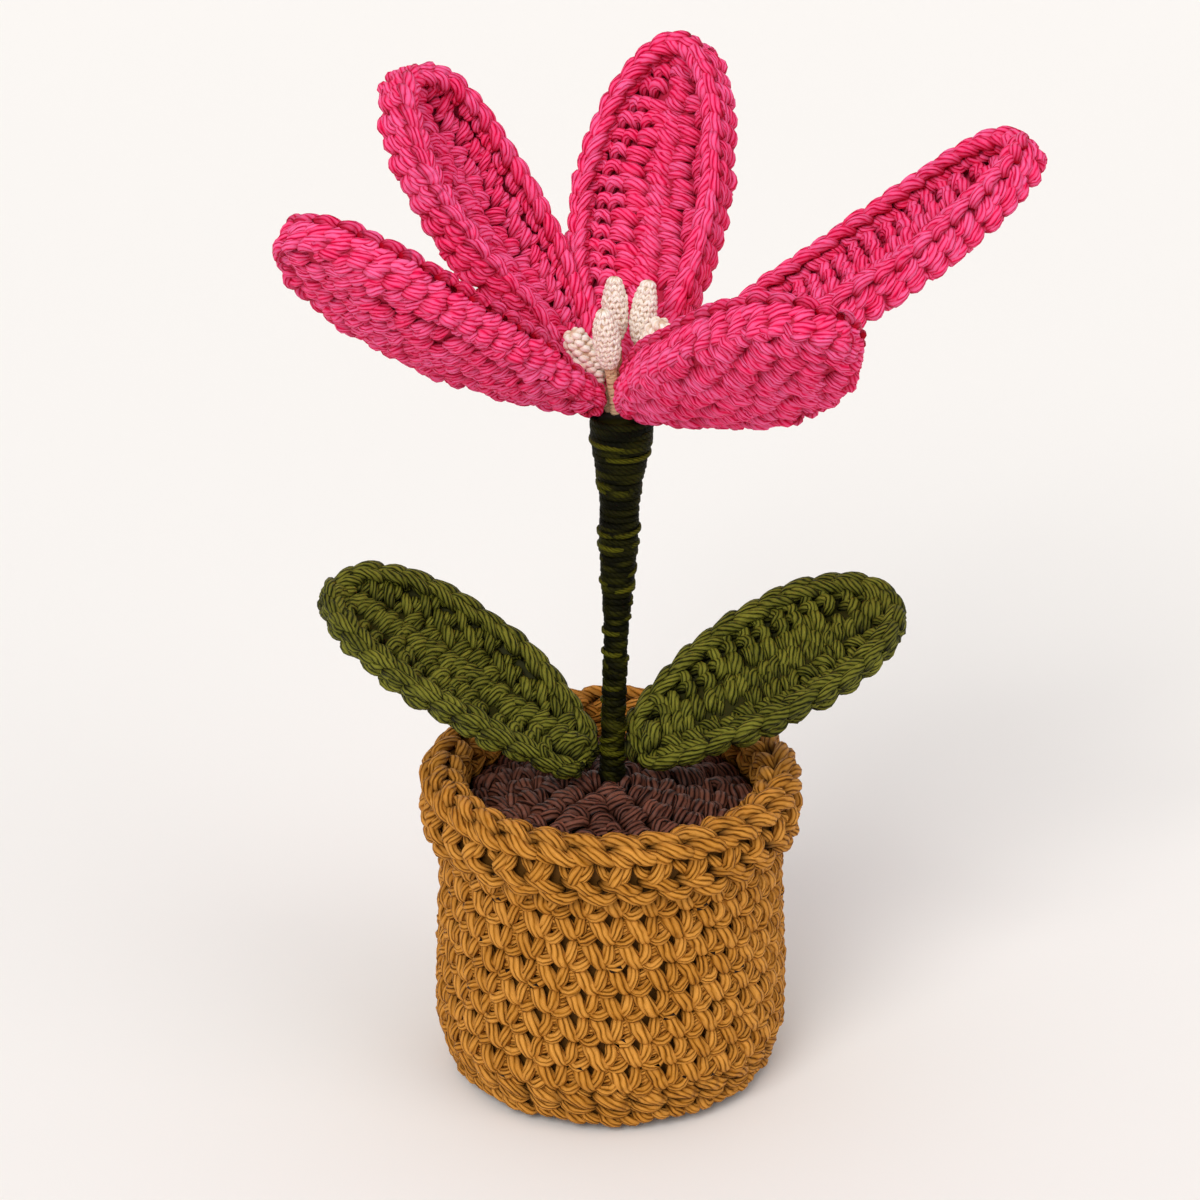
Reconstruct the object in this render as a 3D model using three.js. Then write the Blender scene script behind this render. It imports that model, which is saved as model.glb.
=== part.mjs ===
// A crocheted lily in a crocheted pot: five wired petals and two wired leaves on a wrapped
// wire stem, standing in a stuffed pot with a rim folded outwards. Millimetres, +Z up.
// The origin is the centre of the pot's flat underside.

import * as THREE from "three";

// Pot: one crocheted cup. Its last rounds are folded outwards into a thick rim.
const POT_HEIGHT = 57.8;
const POT_FOOT_RADIUS = 26.5;
const POT_BULGE_RADIUS = 30.7;
const POT_BULGE_HEIGHT = 11;
const POT_NECK_RADIUS = 29.6;
const POT_FABRIC = 3.8;
const POT_FLOOR = 3.6;
const RIM_OUTER_RADIUS = 32.6;
const RIM_INNER_RADIUS = 25.6;
const RIM_DEPTH = 10.6;
const RIM_ROUND = 2.4;
const POT_SEGMENTS = 40;

// Filling and soil: a fibre cushion under a domed crocheted disc.
const GAP = 0.35;
const SOIL_RADIUS = 25.1;
const SOIL_EDGE_HEIGHT = 50;
const SOIL_CROWN_HEIGHT = 54.6;
const SOIL_UNDERSIDE = 46.4;

// Stem: a steel wire with green thread wound over it, thickening under the flower.
const WIRE_RADIUS = 1.1;
const WIRE_FOOT_HEIGHT = 8;
const STEM_FOOT = new THREE.Vector3(0.2, 0, 55);
const STEM_TOP = new THREE.Vector3(1.8, 0, 122.7);
const STEM_SEGMENTS = 16;
const WRAP_WAIST_RADIUS = 2.15;
const WRAP_SHOULDER_RADIUS = 3.5;
const WRAP_CUP_RADIUS = 5.4;

// Petals and leaves: boats of crochet with a raised border, each over a bent wire.
const PETAL_WIDTH = 28.5;
const PETAL_FLOOR = 2.6;
const PETAL_WALL = 3;
const PETAL_WALL_HEIGHT = 6.6;
const PETAL_CUP = 2.5;
const PETAL_ROOT_SHARE = 0.22;
const LEAF_WIDTH = 25;
const LEAF_FLOOR = 2.4;
const LEAF_WALL = 2.8;
const LEAF_WALL_HEIGHT = 4.4;
const LEAF_CUP = 2.5;
const LEAF_ROOT_SHARE = 0.4;
const WIDEST_AT = 0.55;
const BLADE_STEPS = 20;
const BLADE_WIRE_RADIUS = 0.45;

const FLOWER_AXIS_X = 1.8;
const PETALS = [
  { name: "petal_1", azimuth: 203, rise: 15, lift: 52, length: 67, roll: 27, twist: -5, bend: 4, height: 123.7 },
  { name: "petal_2", azimuth: 148, rise: 33, lift: 68, length: 67, roll: 11, twist: -11, bend: 2, height: 124.3 },
  { name: "petal_3", azimuth: 78, rise: 34, lift: 61, length: 68.5, roll: -7, twist: -16, bend: -9, height: 124.4 },
  { name: "petal_4", azimuth: 2, rise: 18.5, lift: 45.5, length: 79, roll: 0, twist: 0, bend: 9, height: 124.1 },
  { name: "petal_5", azimuth: 296, rise: 12, lift: 44, length: 66, roll: -23, twist: -6, bend: 6, height: 123.7 },
];
const PETAL_ROOT_RADIUS = 4.2;
const PRESS_GAP = 0.25;
const PRESS_SOFTNESS = 0.9;

const LEAVES = [
  { name: "leaf_left", azimuth: 163, rise: 29, lift: 29, length: 55, roll: -17, twist: 0, bend: -1 },
  { name: "leaf_right", azimuth: 10, rise: 27, lift: 22, length: 53, roll: 28, twist: -8, bend: 12 },
];
const LEAF_ROOTS = { leaf_left: [-4.8, -2.6, 58.6], leaf_right: [4.9, -0.8, 60] };

// Stamens: long cream pips on thin necks, fanned out of the flower's centre.
const STAMENS = [
  { name: "stamen_1", lean: 25, azimuth: 188, length: 16.2 },
  { name: "stamen_2", lean: 12, azimuth: 236, length: 19.6 },
  { name: "stamen_3", lean: 4, azimuth: 115, length: 22.5 },
  { name: "stamen_4", lean: 10, azimuth: 38, length: 22 },
  { name: "stamen_5", lean: 19, azimuth: 330, length: 18.4 },
];
const STAMEN_ROOT_HEIGHT = 123.4;
const STAMEN_ROOT_RADIUS = 1.7;
const PIP_RADIUS = 1.9;
const PIP_LENGTH = 9.4;
const NECK_RADIUS = 0.6;

const material = (color, roughness, metalness = 0) =>
  new THREE.MeshStandardMaterial({ color, roughness, metalness });

const cottonOchre = material(0xbd7f2c, 0.85);
const cottonSoil = material(0x45241f, 0.7);
const cottonLeaf = material(0x4a5416, 0.85);
const cottonPetal = material(0xe8246e, 0.8);
const threadStem = material(0x3f4a17, 0.8);
const cottonPip = material(0xf3dcc0, 0.9);
const fibreFill = material(0xefeee8, 0.95);
const steelWire = material(0x9a9c9f, 0.4, 1);

const group = new THREE.Group();

function addMesh(name, geometry, finish) {
  const mesh = new THREE.Mesh(geometry, finish);
  mesh.name = name;
  group.add(mesh);
  return mesh;
}

const radians = THREE.MathUtils.degToRad;
const smooth = (x) => THREE.MathUtils.smoothstep(x, 0, 1);

// Joins closed rings of points, all with the same count, into one body with fan-shaped ends.
function loft(rings) {
  const count = rings[0].length;
  const positions = rings.flat().flatMap((p) => [p.x, p.y, p.z]);
  const index = [];
  for (let i = 0; i + 1 < rings.length; i += 1) {
    for (let k = 0; k < count; k += 1) {
      const next = (k + 1) % count;
      const [a, b] = [i * count + k, i * count + next];
      const [c, d] = [a + count, b + count];
      index.push(a, b, d, a, d, c);
    }
  }
  [rings[0], rings[rings.length - 1]].forEach((ring, end) => {
    const centre = new THREE.Vector3();
    ring.forEach((p) => centre.addScaledVector(p, 1 / count));
    const tip = positions.length / 3;
    positions.push(centre.x, centre.y, centre.z);
    const first = end ? (rings.length - 1) * count : 0;
    for (let k = 0; k < count; k += 1) {
      const [a, b] = [first + k, first + ((k + 1) % count)];
      index.push(...(end ? [a, b, tip] : [b, a, tip]));
    }
  });
  const geometry = new THREE.BufferGeometry();
  geometry.setAttribute("position", new THREE.Float32BufferAttribute(positions, 3));
  geometry.setIndex(index);
  geometry.computeVertexNormals();
  return geometry;
}

function lathe(points, segments) {
  const geometry = new THREE.LatheGeometry(points, segments);
  return geometry.rotateX(Math.PI / 2);
}

// An arc of a circle as profile points, from one angle to another in degrees.
function arc(x, y, radius, from, to, steps) {
  return Array.from({ length: steps + 1 }, (_, i) => {
    const angle = radians(from + ((to - from) * i) / steps);
    return new THREE.Vector2(x + radius * Math.cos(angle), y + radius * Math.sin(angle));
  });
}

// The pot's wall bulges low down and narrows to the neck under the rim.
function potRadius(height) {
  if (height < POT_BULGE_HEIGHT) {
    const t = 1 - height / POT_BULGE_HEIGHT;
    return POT_FOOT_RADIUS + (POT_BULGE_RADIUS - POT_FOOT_RADIUS) * Math.sqrt(1 - t * t);
  }
  const t = (height - POT_BULGE_HEIGHT) / (POT_HEIGHT - RIM_DEPTH - POT_BULGE_HEIGHT);
  return THREE.MathUtils.lerp(POT_BULGE_RADIUS, POT_NECK_RADIUS, smooth(t));
}

function potProfile() {
  const point = (r, z) => new THREE.Vector2(r, z);
  const neck = POT_HEIGHT - RIM_DEPTH;
  const wallHeights = [0, 1, 3, 6.5, 11, 20, 34, neck + 0.4];
  const outer = wallHeights.map((z) => point(potRadius(z), z));
  const rimBottom = arc(RIM_OUTER_RADIUS - RIM_ROUND, neck + RIM_ROUND, RIM_ROUND, -60, 0, 2);
  const rimTop = arc(RIM_OUTER_RADIUS - RIM_ROUND, POT_HEIGHT - RIM_ROUND, RIM_ROUND, 0, 90, 3);
  const rimInside = arc(RIM_INNER_RADIUS + RIM_ROUND, POT_HEIGHT - RIM_ROUND, RIM_ROUND, 90, 180, 3);
  const inner = [40, 24, 11, POT_FLOOR + 2].map((z) => {
    return point(Math.min(potRadius(z) - POT_FABRIC, RIM_INNER_RADIUS + 0.6), z);
  });
  const floor = [point(22, POT_FLOOR), point(0, POT_FLOOR)];
  const inside = [point(RIM_INNER_RADIUS, neck), ...inner, ...floor];
  return [point(0, 0), ...outer, ...rimBottom, ...rimTop, ...rimInside, ...inside];
}

// A fibre cushion that fills the pot below the soil, round a hole for the stem's wire.
function stuffingProfile() {
  const radius = RIM_INNER_RADIUS - GAP - 0.3;
  const bore = WIRE_RADIUS + GAP + 0.3;
  const bottom = POT_FLOOR + GAP;
  const top = SOIL_UNDERSIDE - GAP;
  const corners = [
    [bore, bottom],
    [radius - 4.5, bottom],
    [radius - 1, bottom + 3],
    [radius, bottom + 7],
    [radius, top - 2],
    [radius - 3, top],
    [bore, top],
    [bore, bottom],
  ];
  return corners.map(([r, z]) => new THREE.Vector2(r, z));
}

// The crocheted soil: a low dome, with a hole that the stem's wire passes through.
function soilProfile() {
  const bore = WIRE_RADIUS + GAP + 0.2;
  const dome = Array.from({ length: 7 }, (_, i) => {
    const t = 1 - i / 6;
    const rise = (SOIL_CROWN_HEIGHT - SOIL_EDGE_HEIGHT) * (1 - t * t);
    return new THREE.Vector2(bore + (SOIL_RADIUS - bore) * t, SOIL_EDGE_HEIGHT + rise);
  });
  const bottom = [new THREE.Vector2(bore, SOIL_UNDERSIDE), new THREE.Vector2(SOIL_RADIUS, SOIL_UNDERSIDE)];
  return [...bottom, ...dome, bottom[0].clone()];
}

// A point on the stem's axis: upright up to the soil, then leaning slightly.
function stemPoint(height) {
  const t = Math.max((height - STEM_FOOT.z) / (STEM_TOP.z - STEM_FOOT.z), 0);
  return new THREE.Vector3(THREE.MathUtils.lerp(STEM_FOOT.x, STEM_TOP.x, t), 0, height);
}

// The winding's outer radius: a slim waist, a shoulder two thirds up and a cup under the petals.
function wrapRadius(height) {
  const shoulder = (WRAP_SHOULDER_RADIUS - WRAP_WAIST_RADIUS) * smooth((height - 80) / 24);
  const cup = (WRAP_CUP_RADIUS - WRAP_SHOULDER_RADIUS) * smooth((height - 107) / 14);
  const foot = 0.25 * smooth((66 - height) / 12);
  return WRAP_WAIST_RADIUS + shoulder + cup + foot;
}

function ringAt(centre, radius, segments) {
  return Array.from({ length: segments }, (_, k) => {
    const angle = (2 * Math.PI * k) / segments;
    return new THREE.Vector3(centre.x + radius * Math.cos(angle), centre.y + radius * Math.sin(angle), centre.z);
  });
}

// The thread wound round the wire: a sleeve from the soil up, closed over the wire's end.
function wrapGeometry() {
  const bottom = SOIL_CROWN_HEIGHT + GAP;
  const wireEnd = STEM_TOP.z - 2.4;
  const bore = WIRE_RADIUS + GAP;
  const outside = Array.from({ length: 19 }, (_, i) => {
    const z = THREE.MathUtils.lerp(bottom, STEM_TOP.z, i / 18);
    return ringAt(stemPoint(z), wrapRadius(z), STEM_SEGMENTS);
  });
  const inside = [wireEnd + GAP, bottom].map((z) => ringAt(stemPoint(z), bore, STEM_SEGMENTS));
  return sleeve(outside, inside);
}

// A body between an outside run of rings, capped at its end, and a bore that is open below.
function sleeve(outside, inside) {
  const rings = [inside[0], inside[1], ...outside];
  return loft(rings);
}

function stemWireGeometry() {
  const heights = [WIRE_FOOT_HEIGHT, STEM_FOOT.z, STEM_TOP.z - 2.4];
  return loft(heights.map((z) => ringAt(stemPoint(z), WIRE_RADIUS, 12)));
}

// A blade's midline rises from its root and lifts steadily; it may also swing sideways.
// Each station holds the midline point, the direction across the blade and the inner normal.
function bladeStations(blade, steps) {
  const start = radians(blade.azimuth);
  const stations = [];
  const point = new THREE.Vector3(...blade.root);
  let previous = null;
  for (let i = 0; i <= steps; i += 1) {
    const s = i / steps;
    const azimuth = start + radians(blade.bend) * s;
    const rise = radians(blade.rise + (blade.lift - blade.rise) * s);
    const roll = radians(blade.roll + blade.twist * s);
    const along = new THREE.Vector3(
      Math.cos(rise) * Math.cos(azimuth),
      Math.cos(rise) * Math.sin(azimuth),
      Math.sin(rise),
    );
    if (previous) point.addScaledVector(previous.add(along), (0.5 * blade.length) / steps);
    previous = along.clone();
    const level = new THREE.Vector3(-Math.sin(azimuth), Math.cos(azimuth), 0);
    const up = new THREE.Vector3().crossVectors(along, level);
    const across = level.clone().multiplyScalar(Math.cos(roll)).addScaledVector(up, Math.sin(roll));
    const normal = up.clone().multiplyScalar(Math.cos(roll)).addScaledVector(level, -Math.sin(roll));
    stations.push({ s, point: point.clone(), across, normal });
  }
  return stations;
}

// Half the blade's width: it opens quickly from the root, is widest past the middle and
// closes in a round tip.
function halfWidth(s, width, rootShare) {
  if (s < WIDEST_AT) {
    const opening = Math.sin((0.5 * Math.PI * s) / WIDEST_AT) ** 0.8;
    return 0.5 * width * (rootShare + (1 - rootShare) * opening);
  }
  const t = (s - WIDEST_AT) / (1 - WIDEST_AT);
  return 0.5 * width * Math.sqrt(Math.max(1 - t ** 2.4, 0));
}

// One cross-section: a cupped floor between two walls. Where the blade is narrow the walls
// meet, so the floor rises to their top.
function bladeSection(station, form) {
  const half = Math.max(halfWidth(station.s, form.width, form.rootShare), 1.2);
  const cup = (form.cup * half) / (0.5 * form.width);
  const top = cup + form.wallHeight * (0.4 + 0.6 * smooth(station.s / 0.35));
  const inner = Math.max(half - form.wall, 0.35);
  const open = smooth((half - form.wall) / 3);
  const floor = (v) => cup * v * v;
  const raised = (v) => THREE.MathUtils.lerp(top - 0.2, floor(v) + form.floor, open);
  const rounding = Math.min(0.9, 0.4 * half);
  const outline = [
    [-half, floor(1) + rounding],
    [-half + rounding, floor(0.85)],
    [-0.5 * half, floor(0.5)],
    [0, 0],
    [0.5 * half, floor(0.5)],
    [half - rounding, floor(0.85)],
    [half, floor(1) + rounding],
    [half, top - rounding],
    [half - rounding, top],
    [inner + 0.2, top],
    [inner, raised(0.8)],
    [0.5 * inner, raised(0.4)],
    [0, raised(0)],
    [-0.5 * inner, raised(0.4)],
    [-inner, raised(0.8)],
    [-inner - 0.2, top],
    [-half + rounding, top],
    [-half, top - rounding],
  ];
  return outline.map(([across, up]) =>
    station.point.clone().addScaledVector(station.across, across).addScaledVector(station.normal, up),
  );
}

// Neighbouring petals press flat against each other near the flower's centre. A point that
// comes near the upright plane halfway to a neighbour is eased back onto its own side of it.
function press(point, petal) {
  petal.sides.forEach(({ azimuth, sign }) => {
    const normal = new THREE.Vector3(-Math.sin(azimuth), Math.cos(azimuth), 0).multiplyScalar(sign);
    const distance = (point.x - FLOWER_AXIS_X) * normal.x + point.y * normal.y;
    const excess = (distance - PRESS_GAP) / PRESS_SOFTNESS;
    const eased = excess > 20 ? distance : PRESS_GAP + PRESS_SOFTNESS * Math.log(1 + Math.exp(excess));
    point.addScaledVector(normal, eased - distance);
  });
  return point;
}

// The upright planes halfway to the next petal on either side. The list of petals runs clockwise.
function petalSides(index) {
  const at = (i) => PETALS[(i + PETALS.length) % PETALS.length].azimuth;
  const halfway = (a, b) => radians(a + 0.5 * (((b - a + 540) % 360) - 180));
  return [
    { azimuth: halfway(at(index), at(index - 1)), sign: -1 },
    { azimuth: halfway(at(index), at(index + 1)), sign: 1 },
  ];
}

function bladeGeometry(blade, form) {
  const stations = bladeStations(blade, BLADE_STEPS);
  stations[BLADE_STEPS].s = 0.995;
  const rings = stations.map((station) => bladeSection(station, form));
  if (blade.sides) rings.flat().forEach((point) => press(point, blade));
  return loft(rings);
}

// The wire that holds a blade's curve: it leaves the root along the midline, lying on the floor.
function bladeWireGeometry(blade, form) {
  const stations = bladeStations(blade, BLADE_STEPS);
  const rest = form.floor + GAP + BLADE_WIRE_RADIUS;
  const used = stations.filter(({ s }) => s > 0.18 && s < 0.84);
  const path = new THREE.CatmullRomCurve3(
    used.map(({ point, normal }) => point.clone().addScaledVector(normal, rest)),
  );
  const section = new THREE.Shape().absarc(0, 0, BLADE_WIRE_RADIUS, 0, 2 * Math.PI);
  return new THREE.ExtrudeGeometry(section, { steps: 14, extrudePath: path, curveSegments: 3 });
}

// A pip: a thin neck that swells into a long round-ended bead.
function stamenGeometry(length) {
  const middle = length - PIP_LENGTH;
  const neck = [
    [0, 0],
    [NECK_RADIUS, 0],
    [NECK_RADIUS, middle],
  ].map(([r, z]) => new THREE.Vector2(r, z));
  const bead = Array.from({ length: 9 }, (_, i) => {
    const t = (i + 1) / 9;
    const swell = Math.sin(Math.PI * Math.min(t * 0.96, 1) ** 0.8) ** 0.55;
    return new THREE.Vector2(i === 8 ? 0 : Math.max(PIP_RADIUS * swell, 0.25), middle + PIP_LENGTH * t);
  });
  return lathe([...neck, ...bead], 12);
}

function placeStamen({ name, lean, azimuth, length }) {
  const mesh = addMesh(name, stamenGeometry(length), cottonPip);
  const turn = radians(azimuth);
  const tilt = radians(lean);
  mesh.position.set(
    FLOWER_AXIS_X + STAMEN_ROOT_RADIUS * Math.cos(turn),
    STAMEN_ROOT_RADIUS * Math.sin(turn),
    STAMEN_ROOT_HEIGHT,
  );
  const direction = new THREE.Vector3(
    Math.sin(tilt) * Math.cos(turn),
    Math.sin(tilt) * Math.sin(turn),
    Math.cos(tilt),
  );
  mesh.quaternion.setFromUnitVectors(new THREE.Vector3(0, 0, 1), direction);
}

// A petal is rooted on a small circle round the flower's axis.
function placePetal(petal, index) {
  const turn = radians(petal.azimuth);
  const root = [
    FLOWER_AXIS_X + PETAL_ROOT_RADIUS * Math.cos(turn),
    PETAL_ROOT_RADIUS * Math.sin(turn),
    petal.height,
  ];
  return { ...petal, root, sides: petalSides(index) };
}

const petalForm = {
  width: PETAL_WIDTH,
  floor: PETAL_FLOOR,
  wall: PETAL_WALL,
  wallHeight: PETAL_WALL_HEIGHT,
  cup: PETAL_CUP,
  rootShare: PETAL_ROOT_SHARE,
};
const leafForm = {
  width: LEAF_WIDTH,
  floor: LEAF_FLOOR,
  wall: LEAF_WALL,
  wallHeight: LEAF_WALL_HEIGHT,
  cup: LEAF_CUP,
  rootShare: LEAF_ROOT_SHARE,
};

addMesh("pot", lathe(potProfile(), POT_SEGMENTS), cottonOchre);
addMesh("pot_stuffing", lathe(stuffingProfile(), 28), fibreFill);
addMesh("soil", lathe(soilProfile(), 36), cottonSoil);
addMesh("stem_wire", stemWireGeometry(), steelWire);
addMesh("stem_wrap", wrapGeometry(), threadStem);
PETALS.map(placePetal).forEach((petal) => {
  addMesh(petal.name, bladeGeometry(petal, petalForm), cottonPetal);
  addMesh(`${petal.name}_wire`, bladeWireGeometry(petal, petalForm), steelWire);
});
LEAVES.map((leaf) => ({ ...leaf, root: LEAF_ROOTS[leaf.name] })).forEach((leaf) => {
  addMesh(leaf.name, bladeGeometry(leaf, leafForm), cottonLeaf);
  addMesh(`${leaf.name}_wire`, bladeWireGeometry(leaf, leafForm), steelWire);
});
STAMENS.forEach(placeStamen);

export default group;
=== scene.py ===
"""A crocheted lily in a crocheted pot, built yarn by yarn.

Every stitch is laid as strands of yarn: a strand is a soft tube carried along a smooth
path, and a path is drawn in the plain coordinates of a piece of crochet (along it, across
it and out of it) and then bent over that piece's real surface. Lengths in the classes are
in millimetres; the meshes are in metres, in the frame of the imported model.
"""

import logging
from dataclasses import dataclass, field
from enum import Enum
from typing import Callable

import bpy
import numpy as np
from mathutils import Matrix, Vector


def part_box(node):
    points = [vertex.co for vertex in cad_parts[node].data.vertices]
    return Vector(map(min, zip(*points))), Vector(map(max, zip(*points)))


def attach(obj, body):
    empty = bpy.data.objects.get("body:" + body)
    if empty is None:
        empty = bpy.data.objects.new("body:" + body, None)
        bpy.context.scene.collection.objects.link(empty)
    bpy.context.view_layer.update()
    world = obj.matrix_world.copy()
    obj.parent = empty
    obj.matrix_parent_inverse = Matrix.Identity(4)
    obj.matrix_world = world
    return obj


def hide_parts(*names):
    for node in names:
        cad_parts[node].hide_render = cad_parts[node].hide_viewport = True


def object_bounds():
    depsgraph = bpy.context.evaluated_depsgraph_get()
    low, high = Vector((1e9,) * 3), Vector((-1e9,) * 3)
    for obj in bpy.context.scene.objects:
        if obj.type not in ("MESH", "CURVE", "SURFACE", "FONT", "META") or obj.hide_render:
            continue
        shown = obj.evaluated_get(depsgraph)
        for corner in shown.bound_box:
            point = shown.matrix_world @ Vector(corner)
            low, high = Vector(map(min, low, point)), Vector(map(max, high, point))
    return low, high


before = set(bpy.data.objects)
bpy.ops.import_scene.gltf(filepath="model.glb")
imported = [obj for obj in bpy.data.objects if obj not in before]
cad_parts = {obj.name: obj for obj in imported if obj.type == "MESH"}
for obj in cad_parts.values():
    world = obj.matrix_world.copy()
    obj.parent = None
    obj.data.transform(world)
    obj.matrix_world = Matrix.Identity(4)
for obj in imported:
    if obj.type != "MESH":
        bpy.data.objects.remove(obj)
CAD_BOUNDS = [list(corner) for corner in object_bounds()]

log = logging.getLogger("lily")

Array = np.ndarray
Surface = Callable[[Array], Array]
MM = 0.001
TURN = 2.0 * np.pi
LINING_PAINTED_LIGHT = 0.16  # painted light level of the fabric behind the strands: 0 is full painted shade, 1 a strand's crest
OUTLINE_STEPS = 600  # points along a blade's outline


# --------------------------------------------------------------------------------------
# Small helpers
# --------------------------------------------------------------------------------------


def unit(vectors: Array) -> Array:
    """Scales vectors to length one.

    Args:
        vectors: Array whose last axis holds x, y, z.

    Returns:
        The same directions at length one.
    """
    length = np.linalg.norm(vectors, axis=-1, keepdims=True)
    return vectors / np.maximum(length, 1e-12)


def ease(x: Array | float) -> Array:
    """Smoothly goes from 0 to 1 as x does, and stays flat outside.

    Args:
        x: Position between 0 and 1.

    Returns:
        x squared times three minus two x, with x clipped.
    """
    t = np.clip(x, 0.0, 1.0)
    return t * t * (3.0 - 2.0 * t)


def spline(points: Array, steps: int) -> Array:
    """Draws a Catmull-Rom curve through each row of points.

    Each new point is a weighted sum of the four nearest given points, with the usual cubic
    weights, so the whole batch is one matrix product.

    Args:
        points: Array (strands, knots, 3).
        steps: How many points each curve gets.

    Returns:
        Array (strands, steps, 3).
    """
    knots = points.shape[1]
    place = np.linspace(0.0, knots - 1.0, steps)
    first = np.clip(place.astype(int), 0, knots - 2)
    t = place - first
    weights = np.stack(
        [
            0.5 * (-t + 2 * t**2 - t**3),
            0.5 * (2 - 5 * t**2 + 3 * t**3),
            0.5 * (t + 4 * t**2 - 3 * t**3),
            0.5 * (-(t**2) + t**3),
        ],
        axis=-1,
    )
    matrix = np.zeros((steps, knots))
    for shift in range(4):
        column = np.clip(first + shift - 1, 0, knots - 1)
        np.add.at(matrix, (np.arange(steps), column), weights[:, shift])
    return np.einsum("mk,nkd->nmd", matrix, points)


# --------------------------------------------------------------------------------------
# Yarn and meshes
# --------------------------------------------------------------------------------------


@dataclass(frozen=True)
class Yarn:
    """A yarn's shape where it is laid: half its width and half its thickness.

    Attributes:
        half_width: Half the width along the fabric, in mm.
        half_thickness: Half the thickness out of the fabric, in mm.
        sides: Faces round the strand.
        taper: Share of the full size that is left at the strand's two ends.
    """

    half_width: float
    half_thickness: float
    sides: int = 8
    taper: float = 0.45


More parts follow.
